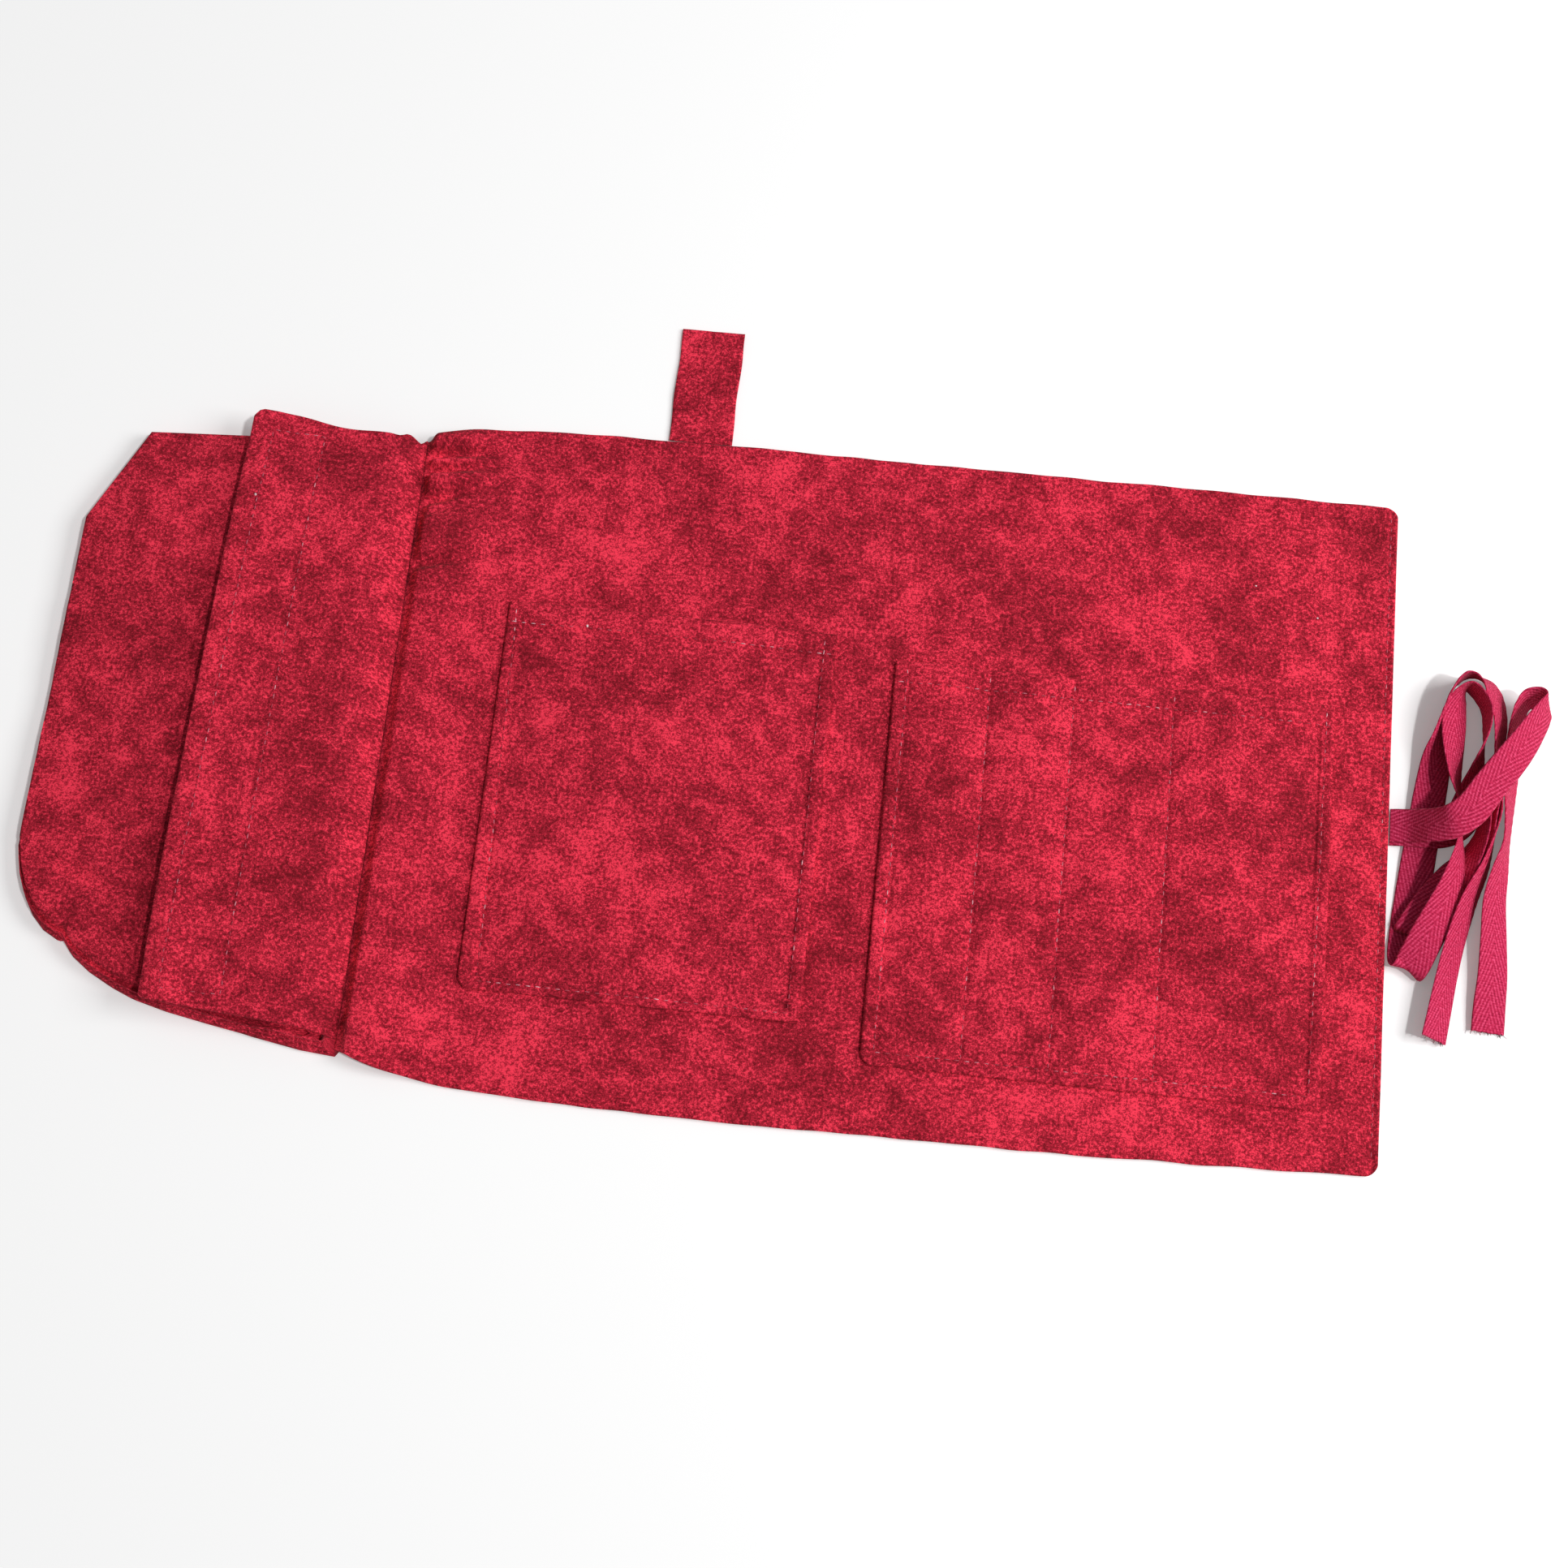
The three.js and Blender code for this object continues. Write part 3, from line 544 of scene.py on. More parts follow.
def stations(length, fine_at=(), step=1.6):
    """Places along a side of that length in mm, from 0 to 1: close at both ends and near each seam."""
    places = set(np.arange(2.4, length - 2.4, step).tolist())
    for seam in fine_at:
        places = {p for p in places if abs(p - seam) > 2.2}
        places.update(seam + d for d in SEAM)
    places = {p for p in places if RIM[-1] + 0.4 < p < length - RIM[-1] - 0.4}
    places.update(RIM)
    places.update(length - p for p in RIM)
    return np.array(sorted(places)) / length


def ripple(x, y, size, seed):
    """Smooth noise of about -1 to 1 over arrays of places, with bumps of that size in mm."""
    x, y = np.broadcast_arrays(x, y)
    spots = zip((x / size).ravel().tolist(), (y / size).ravel().tolist())
    values = [noise.noise(Vector((a, b, seed))) for a, b in spots]
    return 1.6 * np.array(values).reshape(x.shape)


def cloth_sheet(name, us, vs, size, place, uv_shift):
    """A closed sheet over a grid. place gives x, y, the height of the underside and the thickness."""
    u, v = np.meshgrid(us, vs, indexing="ij")
    x, y, under, thick = np.broadcast_arrays(*place(u, v))
    from_rim = np.minimum(np.minimum(u, 1 - u) * size[0], np.minimum(v, 1 - v) * size[1])
    round_off = np.clip(from_rim / (0.6 * thick), 0, 1)
    half = 0.5 * thick * np.sqrt(1 - (1 - round_off) ** 2)
    middle = under + 0.5 * thick
    rows, columns = x.shape
    top = np.arange(rows * columns).reshape(rows, columns)
    bottom = top.copy()
    inner = (rows - 2) * (columns - 2)
    bottom[1:-1, 1:-1] = rows * columns + np.arange(inner).reshape(rows - 2, columns - 2)
    upper = np.stack([x, y, middle + half], axis=-1).reshape(-1, 3)
    lower = np.stack([x, y, middle - half], axis=-1)[1:-1, 1:-1].reshape(-1, 3)
    points = np.vstack([upper, lower])

    def quads(grid, flip):
        corners = [grid[:-1, :-1], grid[1:, :-1], grid[1:, 1:], grid[:-1, 1:]]
        if flip:
            corners.reverse()
        return np.stack(corners, axis=-1).reshape(-1, 4).tolist()

    obj = make_piece(name, points, quads(top, False) + quads(bottom, True), points[:, :2] + uv_shift)
    if obj.data.polygons[len(obj.data.polygons) // 4].normal.z < 0:
        obj.data.flip_normals()
    return obj


def hump(t):
    """1 at the middle and 0 from a distance of 1 outwards."""
    t = np.minimum(np.abs(t), 1)
    return (1 + np.cos(np.pi * t)) / 2


def groove(distance, depth=0.4, width=0.9):
    """How far a seam pulls the cloth down at this distance from its stitches."""
    return -depth * np.exp(-((distance / width) ** 2))


print("Stations across a 122 mm pocket:", len(stations(122, (4, 118))))

# %% [markdown]
# The main panel is two layers sewn face to face, turned through a gap and pressed, which is why its
# rim is thicker and rounder than its middle. The bag pulls on its left end, so the panel is pinched
# there and raises a soft roll beside the crease and a few folds that run out of the pinched corners.

# %% The shape of the panel
PANEL_WIDTH = 254
PANEL_THICK = 1.8
PANEL_CORNER = 5
TOPSTITCH = 2.6
PINCH = 10
PINCH_REACH = 22
ROLL_PEAK = 4.4
ROLL_FALL = 32
ROLL_HEIGHT = 2.8
ROLL_RISE = 1.8
FOLD_START = 4
# How far the far edge slants in towards the crease and the near edge bows out.
FAR_SLANT = 3.6
NEAR_BOW = 4.4
# Each fold: where it leaves the crease as a share of the half width, its length, half width,
# height and slope. From the sixth on they are too fine for the CAD model, and some are valleys.
FOLDS = [
    (0.885, 34, 4.5, 3, 0.18),
    (0.76, 32, 5.5, 3.2, 0.2),
    (0.6, 40, 12, 2.2, 0.22),
    (-0.62, 34, 9, 1.2, 0.1),
    (-0.88, 70, 7, 2.6, -0.14),
    (0.845, 34, 3.4, -4.8, 0.18),
    (0.792, 30, 3.6, -4.6, 0.2),
    (0.7, 24, 4, -4.2, 0.36),
    (0.5, 30, 4.4, -3.2, 0.27),
    (0.818, 22, 2, 1, 0.19),
    (0.66, 26, 4, -1.2, 0.3),
    (0.46, 18, 5, 0.7, 0.2),
    (-0.78, 24, 3.5, 0.7, 0.05),
    (-0.945, 44, 2.2, -1, -0.19),
]


def far_edge(x):
    along = x - CREASE
    slant = FAR_SLANT * (1 - along / PANEL_LENGTH)
    return PANEL_WIDTH / 2 - slant - PINCH * np.exp(-along / PINCH_REACH)


def near_edge(x):
    along = x - CREASE
    bow = NEAR_BOW * (1 - ((along / PANEL_LENGTH - 0.33) / 0.67) ** 2)
    return -PANEL_WIDTH / 2 - bow + PINCH * np.exp(-along / PINCH_REACH)


def corner_cut(distance, radius):
    inside = np.maximum(radius - distance, 0)
    return radius - np.sqrt(radius * radius - inside * inside)


def panel_lift(x, y):
    """Height of the underside: the roll and folds by the crease, and a slow wave everywhere."""
    along = x - CREASE
    past = along - ROLL_PEAK
    height = ROLL_HEIGHT + ROLL_RISE * (y / 115) ** 2
    lift = height * hump(past / np.where(past < 0, ROLL_PEAK, ROLL_FALL))
    run = along - FOLD_START
    for side, length, width, height, slope in FOLDS:
        fade = hump(run / np.where(run < 0, FOLD_START, length))
        lift = lift + height * fade * hump((y - side * PANEL_WIDTH / 2 - slope * run) / width)
    lift = np.maximum(lift, 0)
    return lift + 0.22 * (1 + ripple(x, y, 26, 3.1)) + 0.06 * (1 + ripple(x, y, 7, 8.7))


def panel_top(x, y):
    return panel_lift(x, y) + PANEL_THICK + groove(RIGHT_EDGE - TOPSTITCH - x, 0.5)


def panel_place(u, v):
    x = CREASE - 0.5 + (PANEL_LENGTH + 0.5) * u
    cut = corner_cut(RIGHT_EDGE - x, PANEL_CORNER)
    near = near_edge(x) + cut
    far = far_edge(x) - cut
    y = near + (far - near) * v
    waver = 0.35 * ripple(x, np.sign(v - 0.5) * 50, 16, 1.3) * (1 - hump(2 * v - 1))
    y = y + waver
    under = panel_lift(x, y)
    return x, y, under, panel_top(x, y) - under


# %% The panel
panel_us = stations(PANEL_LENGTH, (2.6, 6.4, PANEL_LENGTH - TOPSTITCH), 1.9)
# The grid is finer where the folds run out of the crease's far corner.
fine_ys = np.arange(9, 68, 2.6)
panel_vs = stations(PANEL_WIDTH, PANEL_WIDTH - fine_ys, 1.7)
panel = cloth_sheet("panel_cloth", panel_us, panel_vs, (PANEL_LENGTH, PANEL_WIDTH), panel_place, (0, 0))
join_frame(panel, cotton, "cotton", "main_panel")

# %% [markdown]
# The dice bag is a flat shell of cloth with boxed corners: a back, a front and a side wall between
# them, slumped under its own weight. It is lofted from rings of points across it, with an outer and
# an inner surface that meet at the mouth, as a real bag has an inside.

# %% The shape of the bag
BAG_LENGTH = 121
BAG_END = CREASE - BAG_LENGTH
BAG_RIM = CREASE - 7
SIDE_HEIGHT = 6.4
BAG_CLOTH = 1.5
BOXED = 18
# Where the far outline lies at the bag's end, where the boxed corner ends and at the crease.
FAR_AT_END = 69
FAR_AT_BOX = 105
FAR_AT_CREASE = 112
# Places along the near outline of the bag, measured on the photograph.
NEAR_OUTLINE = [
    (-305, -62), (-303.2, -71), (-299.6, -80), (-295, -86.4), (-291, -89.6), (-286.4, -91.8),
    (-284.8, -91.6), (-281, -96.6), (-274, -101.8), (-265, -106.6), (-257, -109.9), (-245, -113),
    (-230, -115.8), (-218, -117.8), (-200, -121.6), (-188, -122.9), (-176, -123.6),
]
END_SLANT = 1.4


def bag_far(x):
    along = x - BAG_END
    if along < BOXED:
        return FAR_AT_END + (FAR_AT_BOX - FAR_AT_END) * along / BOXED
    return FAR_AT_BOX + (FAR_AT_CREASE - FAR_AT_BOX) * (along - BOXED) / (BAG_LENGTH - BOXED)


def bag_near(x):
    return float(np.interp(x, *zip(*NEAR_OUTLINE)))


bag_far_of = np.vectorize(bag_far, otypes=[float])
bag_near_of = np.vectorize(bag_near, otypes=[float])


def bag_front(x, y):
    """Height of the front: it rises from the side seams to a soft crown."""
    along = np.clip((x - BAG_END) / (BAG_RIM - BAG_END), 0, 1)
    middle = 2.2 * along + 5.2 * np.sin(np.pi * along)
    far = bag_far_of(x)
    centre = (far + bag_near_of(x)) / 2
    across = np.minimum(np.abs(y - centre) / (far - centre), 1)
    return SIDE_HEIGHT + middle * (1 - across ** 4)


def valley(x, y, start, end, depth, width):
    """A soft straight valley between two places, deepest midway."""
    (x0, y0), (x1, y1) = start, end
    length = math.hypot(x1 - x0, y1 - y0)
    along = ((x - x0) * (x1 - x0) + (y - y0) * (y1 - y0)) / length
    aside = ((x - x0) * (y1 - y0) - (y - y0) * (x1 - x0)) / length
    return -depth * hump(2 * along / length - 1) * hump(aside / width)


def bag_detail(x, y):
    """Hollows, swells and folds of the front where it shows, and the dip beside its near seam."""
    open_part = np.clip((-249 - x) / 12, 0, 1)
    swell = 0.7 * ripple(x, y, 24, 5.5) + 0.25 * ripple(x, y, 9, 2.2)
    folds = valley(x, y, (-301, -60), (-256, -78), 2.2, 5)
    folds = folds + valley(x, y, (-276, -40), (-252, -52), 1, 4)
    seam = -3.2 * np.exp(-(((y - bag_near_of(x)) - 4.2 * near_lean(x)) / 1.3) ** 2)
    slot = -3.6 * np.exp(-(((x + 198) / 1.1) ** 2)) * np.exp(-(((y + 117.5) / 3.4) ** 2))
    tuck = -1.8 * np.exp(-(((x + 191.5) / 1.6) ** 2)) * np.exp(-(((y + 119) / 2.6) ** 2))
    return open_part * (swell + folds) + seam + slot + tuck


def bag_surface(x, y):
    return bag_front(x, y) + bag_detail(x, y)


def near_lean(x):
    """How much further the near wall leans in towards the mouth, as a factor."""
    return np.interp(x, [-262, -235, -216, -205, -176], [0.75, 0.98, 0.95, 1.5, 1.5])


# Across the wall, from the table up: a share of the height and how far it stands in from the outline.
FAR_WALL = ([0, 0.18, 0.38, 0.58, 0.7, 0.82, 0.96], [2, 0.5, 0, 0.6, 2.4, 0.8, 1.1])
NEAR_WALL = ([0, 0.15, 0.36, 0.5, 0.6, 0.72, 0.86, 0.96], [1.4, 0, 0.6, 1.7, 1.5, 3.4, 2.5, 2.9])
BACK_POINTS = 16
SIDE_POINTS = 20
FRONT_POINTS = 120
# How far the inner walls stand in from the outline.
WALL_INSET = 6


def bag_ring(x):
    """Outer and inner points round the bag at one station, as (y, z)."""
    far, near, lean = bag_far(x), bag_near(x), float(near_lean(x))
    far_wall = far - WALL_INSET
    near_wall = near + WALL_INSET * lean
    back = np.linspace(0, 1, BACK_POINTS + 1)
    outer = [(near + 2 + (far - near - 4) * t, 0) for t in back]
    inner = [(near_wall + (far_wall - near_wall) * t, BAG_CLOTH) for t in back]
    heights = np.linspace(0.06, 0.96, SIDE_POINTS)
    rise = float(bag_front(x, far_wall)) - BAG_CLOTH
    inner_heights = BAG_CLOTH + (rise - BAG_CLOTH) * heights
    outer += list(zip(far - np.interp(heights, *FAR_WALL), SIDE_HEIGHT * heights))
    inner += [(far_wall, z) for z in inner_heights]
    near_top = near + 3.4 * lean
    front = np.linspace(0, 1, FRONT_POINTS + 1)
    for t in front - 0.06 * np.sin(2 * np.pi * front):
        y = far - 2 + (near_top - far + 2) * t
        inner_y = far_wall - (far_wall - near_wall) * t
        outer.append((y, float(bag_surface(x, y))))
        inner.append((inner_y, float(bag_surface(x, inner_y)) - BAG_CLOTH))
    outer += list(zip(near + np.interp(heights, *NEAR_WALL) * lean, SIDE_HEIGHT * heights))[::-1]
    inner += [(near_wall, z) for z in inner_heights[::-1]]
    return outer, inner


def mouth_lead(along, x, y, z):
    """The back of the bag runs on to the crease, so the mouth slants back to the front's rim."""
    return 6.7 * max((along - 0.8) / 0.2, 0) * (1 - z / float(bag_front(x, y)))


# %% The bag
# Stations of the rings: close at the rounded end, at the near corner and by the slot of the near seam.
END_SHARES = [0, 0.008, 0.02, 0.04, 0.07, 0.11]
CORNER_XS = [-286, -285.4, -284.8, -284.2]
SLOT_XS = [-200, -199, -198, -197, -196, -193, -190]
# The inner surface starts at this ring, so the cloth of the bag's end has a thickness.
FIRST_INNER = 4
# Each surface takes its own part of the print.
OUTER_UV = 900
INNER_UV = 1400
HUB_UV = (850, 0)


def make_bag():
    """The bag from rings round its outer and inner surface, joined at the mouth and closed at its end."""
    reach = BAG_RIM - BAG_END
    fine = [(x - BAG_END) / reach for x in CORNER_XS + SLOT_XS]
    alongs = sorted(END_SHARES + np.linspace(BOXED / reach, 1, 60).tolist() + fine)
    points = []
    uvs = []
    faces = []

    def add_ring(ring, along, x, shift):
        start = len(points)
        arc = distances(ring)
        front = len(ring) - SIDE_POINTS - FRONT_POINTS // 2
        middle = arc[front] + ring[front][0]
        for (y, z), run in zip(ring, arc):
            slant = END_SLANT * (1 - along) ** 3 * np.clip((FAR_AT_END - y) / 120, 0, 1)
            points.append((x + mouth_lead(along, x, y, z) - slant, y, z))
            uvs.append((x + shift, middle - run))
        return start

    rings = [(along, BAG_END + reach * along, *bag_ring(BAG_END + reach * along)) for along in alongs]
    outer_start = [add_ring(outer, along, x, OUTER_UV) for along, x, outer, _ in rings]
    inner_start = [add_ring(inner, along, x, INNER_UV) for along, x, _, inner in rings[FIRST_INNER:]]
    count = outer_start[1] - outer_start[0]

    def band(first, second, flip):
        for k in range(count):
            n = (k + 1) % count
            quad = (first + k, second + k, second + n, first + n)
            faces.append(quad[::-1] if flip else quad)

    for a, b in zip(outer_start, outer_start[1:]):
        band(a, b, True)
    for a, b in zip(inner_start, inner_start[1:]):
        band(a, b, False)
    band(outer_start[-1], inner_start[-1], True)
    for start, flip in ((outer_start[0], False), (inner_start[0], True)):
        hub = len(points)
        points.append(np.mean(points[start:start + count], axis=0))
        uvs.append(HUB_UV)
        for k in range(count):
            n = (k + 1) % count
            faces.append((hub, start + k, start + n) if flip else (hub, start + n, start + k))
    return make_piece("bag_cloth", points, faces, uvs)


bag = make_bag()
join_frame(bag, cotton, "cotton", "dice_bag")

# %% [markdown]
# The flap is a double band that hinges on the crease and folds back over the mouth. A hook strip is
# sewn under it and a loop strip to the bag, so the stitches of the strip draw a long narrow rectangle
# on the flap's top. The flap takes its shape from the bag below it, a hair above the strips.

# %% The shape of the flap
FLAP_REACH = 64
FLAP_SPAN = 227.2
FLAP_THICK = 1.4
STRIP_THICK = 1
# Clearances: from the crease to the hinge, and from one layer to the next.
HINGE_GAP = 0.3
LAYER_GAP = 0.3
FLAP_HINGE = CREASE - HINGE_GAP
FLAP_EDGE = FLAP_HINGE - FLAP_REACH
# Room for both strips under the flap, and how soon it is reached from the hinge.
STRIP_ROOM = 2.6
ROOM_START = 2
ROOM_SLOPE = 12.5
# The stitched rectangle: its left, right, low and high side.
RECTANGLE = (-245, -225, -107, 107)


def slanted(x, y):
    """Where a line across the straight flap lies: it slants and bows, and its free edge reaches out."""
    share = np.clip((CREASE - x) / FLAP_REACH, 0, 1)
    rim = np.clip((share - 0.95) / 0.05, 0, 1)
    bow = 2 * (y / 105) ** 2 * np.minimum(share / 0.5, 1) * (1 - rim)
    return x + 0.029 * y * share + bow - (2.4 + 0.0075 * y) * rim


def straightened(x, y):
    """The place on the straight flap that lies at x."""
    straight = x
    for _ in range(6):
        straight = straight + x - slanted(straight, y)
    return straight


def flap_rest(x, y):
    far = bag_far_of(x)
    centre = (far + bag_near_of(x)) / 2
    reach = 0.94 * (far - centre)
    held = np.clip(y, centre - reach, centre + reach)
    down = np.clip((x - BAG_RIM) / 6.7, 0, 1)
    over = bag_front(np.minimum(x, BAG_RIM), held)
    curl = (1.6 + 1.5 * np.clip(-y / 100, 0, 1)) * hump((x - FLAP_EDGE) / 17)
    return over + (BAG_CLOTH - over) * down + LAYER_GAP + curl


def strip_share(straight):
    """How much of the room for the strips the flap stands above the bag, from 0 at the hinge to 1."""
    return np.clip((CREASE - ROOM_START - straight) / ROOM_SLOPE, 0, 1)


def flap_top(x, y):
    straight = straightened(x, y)
    over_strip = strip_share(straight)
    top = flap_rest(x, y) + STRIP_ROOM * over_strip + FLAP_THICK
    left, right_side, low, high = RECTANGLE
    inside_y = (y > low - 1) & (y < high + 1)
    inside_x = (straight > left - 1) & (straight < right_side + 1)
    seams = np.where(inside_y, np.minimum(np.abs(straight - left), np.abs(straight - right_side)), 99)
    ends = np.where(inside_x, np.minimum(np.abs(y - low), np.abs(y - high)), 99)
    wave = 0.12 * ripple(x, y, 15, 6.1) * over_strip
    return top + groove(np.minimum(seams, ends), 0.35) + wave


def flap_place(u, v):
    from_hinge = u * FLAP_REACH
    from_edge = (1 - u) * FLAP_REACH
    straight = FLAP_HINGE - from_hinge
    # Each end follows the photograph: slanted as a whole, drawn in at its middle, out by the hinge.
    shift = -0.9 + 4.6 * (u - 0.5)
    sag = 1.6 * hump((from_hinge - 34) / 20) - 1.6 * hump((from_hinge - 6.5) / 5)
    far = shift + FLAP_SPAN / 2 - sag + 2.6 * hump(from_hinge / 3) - 3.8 * np.clip(1 - from_edge / 1.1, 0, 1)
    near = shift - FLAP_SPAN / 2 + 0.9 * np.clip(4 * u, 0, 1) + corner_cut(from_edge, 2)
    y = far + (near - far) * v
    x = slanted(straight, y)
    under = flap_rest(x, y) + STRIP_ROOM * strip_share(straight)
    return x, y, under, flap_top(x, y) - under


# %% The flap
left, right_side, low, high = RECTANGLE
flap_us = stations(FLAP_REACH, [FLAP_HINGE - x for x in (left, right_side)], 1.4)
flap_vs = stations(FLAP_SPAN, [112.7 - y for y in (high, low)], 1.7)
flap = cloth_sheet("flap_cloth", flap_us, flap_vs, (FLAP_REACH, FLAP_SPAN), flap_place, (2300, 50))
join_frame(flap, cotton, "cotton", "bag_flap")

# %% [markdown]
# Hook and loop is nylon: one strip has a brushed pile of loops and the other rows of stiff hooks.
# Both hide between the flap and the bag and show only at their ends, as thin dark red bands.

# %% The hook-and-loop strips
STRIP_LENGTH = 212
STRIP_WIDTH = 25
STRIP_FAR = 105.1
STRIP_INSET = 2.4


def nylon_strip_material(name, scale, dark, light):
    """Nylon, a little glossier than the cloth, as a field of small round tufts."""
    material, tree = new_material(name)
    uv = add_node(tree, "ShaderNodeUVMap", {"uv_map": "UVMap"}).outputs["UV"]
    pile = add_node(tree, "ShaderNodeTexVoronoi", {"Vector": uv, "Scale": scale}).outputs["Distance"]
    add_shader(tree, {"Base Color": add_ramp(tree, pile, [(0.1, light), (0.6, dark)]),
                      "Normal": add_bump(tree, pile, 0.7, 0.3), "Roughness": 0.6})
    return material


def make_strip(name, level, uv_shift):
    """A strip under the flap: level 0 lies on the bag and level 1 on the other strip."""
    def place(u, v):
        y = STRIP_FAR - STRIP_LENGTH * v
        x = slanted(FLAP_EDGE + STRIP_INSET + STRIP_WIDTH * (1 - u), y)
        under = flap_rest(x, y) + level * (STRIP_THICK + LAYER_GAP)
        return x, y, under, np.full_like(under, STRIP_THICK)
    size = (STRIP_WIDTH, STRIP_LENGTH)
    return cloth_sheet(name, stations(STRIP_WIDTH), stations(STRIP_LENGTH), size, place, uv_shift)


loops = nylon_strip_material("nylon_loop_pile", 170, "#4a0a16", "#8a1a2c")
hooks = nylon_strip_material("nylon_hook_rows", 110, "#3c0812", "#7a1526")
loop_strip = make_strip("loop_strip_pile", 0, (2600, 0))
hook_strip = make_strip("hook_strip_hooks", 1, (2700, 0))
join_frame(loop_strip, loops, "hook_and_loop", "loop_strip")
join_frame(hook_strip, hooks, "hook_and_loop", "hook_strip")

# %% [markdown]
# A patch pocket is hemmed along its top, pressed under at its other sides and sewn down close to
# them. The cloth between the seams is a little wider than its place, so it stands off the panel.

# %% The shape of a pocket
HEM = 4.5
MOUTH_HEM = 8
POCKET_GAP = 0.15
# One layer of cloth, and the one that a hem adds.
ONE_LAYER = 0.85
HEM_LAYER = 0.95
PLAIN = {"left": -145, "top": 52.5, "width": 122, "height": 146.5, "fullness": 2.2,
         "seams": [], "side_lines": ((3, 6.8), (4.5, 4.5)), "base_line": 3, "seed": 4.4}
DIVIDED = {"left": -0.6, "top": 44.7, "width": 163, "height": 151, "fullness": 1.4,
           "seams": [35.4, 66.6, 103.6], "side_lines": ((4.6, 4.6), (3, 4.4)), "base_line": 4.7,
           "seed": 9.2}


def lane_share(pocket, across):
    """0 on each seam and 1 midway between two."""
    edges = [HEM, *pocket["seams"], pocket["width"] - HEM]
    share = np.zeros_like(across)
    for low_edge, high_edge in zip(edges, edges[1:]):
        t = (across - low_edge) / (high_edge - low_edge)
        here = (t >= 0) & (t <= 1)
        share = np.where(here, np.sin(np.pi * np.clip(t, 0, 1)) ** 0.8, share)
    return share


def pocket_seam_distance(pocket, across, up_by):
    """Distance to the nearest line of stitches."""
    rise = np.clip(up_by / pocket["height"], 0, 1)
    (left_top, left_base), (right_top, right_base) = pocket["side_lines"]
    left_line = left_base + (left_top - left_base) * rise
    right_line = pocket["width"] - (right_base + (right_top - right_base) * rise)
    lines = [np.abs(across - left_line), np.abs(across - right_line)]
    lines += [np.abs(across - seam) for seam in pocket["seams"]]
    within = (across > left_line - 1) & (across < right_line + 1)
    lines.append(np.where(within, np.abs(up_by - pocket["base_line"]), 99))
    lines.append(np.abs(up_by - (pocket["height"] - MOUTH_HEM)))
    return np.minimum.reduce(lines)


def pocket_under(pocket, x, y):
    across = x - pocket["left"]
    up_by = y - (pocket["top"] - pocket["height"])
    rise = np.clip((up_by - HEM) / (0.22 * pocket["height"]), 0, 1)
    lift = pocket["fullness"] * lane_share(pocket, across) * np.sin(np.pi / 2 * rise)
    return panel_top(x, y) + POCKET_GAP + lift + 0.25 * lift * ripple(x, y, 20, pocket["seed"])


def pocket_top(pocket, x, y):
    across = x - pocket["left"]
    up_by = y - (pocket["top"] - pocket["height"])
    width, height = pocket["width"], pocket["height"]
    side = np.minimum(np.minimum(across, width - across), up_by)
    hem_share = np.maximum(1 - np.clip((side - HEM) / 0.8, 0, 1),
                           np.clip((up_by - height + MOUTH_HEM + 0.4) / 0.8, 0, 1))
    thick = ONE_LAYER + HEM_LAYER * hem_share
    seam = groove(pocket_seam_distance(pocket, across, up_by), 0.4)
    return pocket_under(pocket, x, y) + thick + seam


def make_pocket(name, pocket, uv_shift):
    width, height = pocket["width"], pocket["height"]

    def place(u, v):
        x = pocket["left"] + width * u
        cut = corner_cut(np.minimum(u, 1 - u) * width, 4.6)
        y = pocket["top"] - height + cut + (height - cut) * v
        under = pocket_under(pocket, x, y)
        return x, y, under, pocket_top(pocket, x, y) - under

    us = stations(width, [4, HEM + 0.4, *pocket["seams"], width - 4], 1.5)
    vs = stations(height, [pocket["base_line"], height - MOUTH_HEM], 1.5)
    return cloth_sheet(name, us, vs, (width, height), place, uv_shift)


# %% The two pockets
plain_pocket = make_pocket("plain_pocket_cloth", PLAIN, (3100, 210))
join_frame(plain_pocket, cotton, "cotton", "plain_pocket")
divided_pocket = make_pocket("divided_pocket_cloth", DIVIDED, (3700, 130))
join_frame(divided_pocket, cotton, "cotton", "divided_pocket")

# %% [markdown]
# The tab is a strip folded in half along its length, turned, and caught in the seam of the far edge.

# %% The tab
TAB_START = 90
TAB_WIDTH = 24
TAB_LENGTH = 47


def tab_place(u, v):
    x = CREASE + TAB_START + TAB_WIDTH * u
    y = far_edge(x) + 0.3 + TAB_LENGTH * v
    middle = np.exp(-(((u - 0.5) * TAB_WIDTH / 1.2) ** 2))
    under = 0.15 * (1 + ripple(x, y, 14, 7.7))
    thick = 1.4 - 0.25 * middle + 0.1 * ripple(x, y, 5, 4.1)
    return x + 0.4 * ripple(x * 0, y, 15, 2.8), y, under, thick


tab_us = stations(TAB_WIDTH, (TAB_WIDTH / 2,), 1.2)
tab_vs = stations(TAB_LENGTH, (), 1.2)
tab = cloth_sheet("tab_cloth", tab_us, tab_vs, (TAB_WIDTH, TAB_LENGTH), tab_place, (4400, 0))
join_frame(tab, cotton, "cotton", "edge_tab")

# %% [markdown]
# The stitches are a lockstitch in a fine red polyester thread, 3.5 mm apart. It shines here and there, and
# that shine is painted into its colour as pale patches, so some stitches show as light dashes and others are
# lost in the print.
# One stitch is shaped from a sphere, then copied along every seam, each copy laid on the cloth below
# it and turned along the seam. On a real seam each stitch also dives into the cloth at both ends.

# %% One stitch
STITCH_PITCH = 3.5
STITCH_LENGTH = 2.1
STITCH_WIDTH = 0.42
STITCH_PATCH = 9
PLY_TURN = 0.6
STITCH_BEND = 0.35


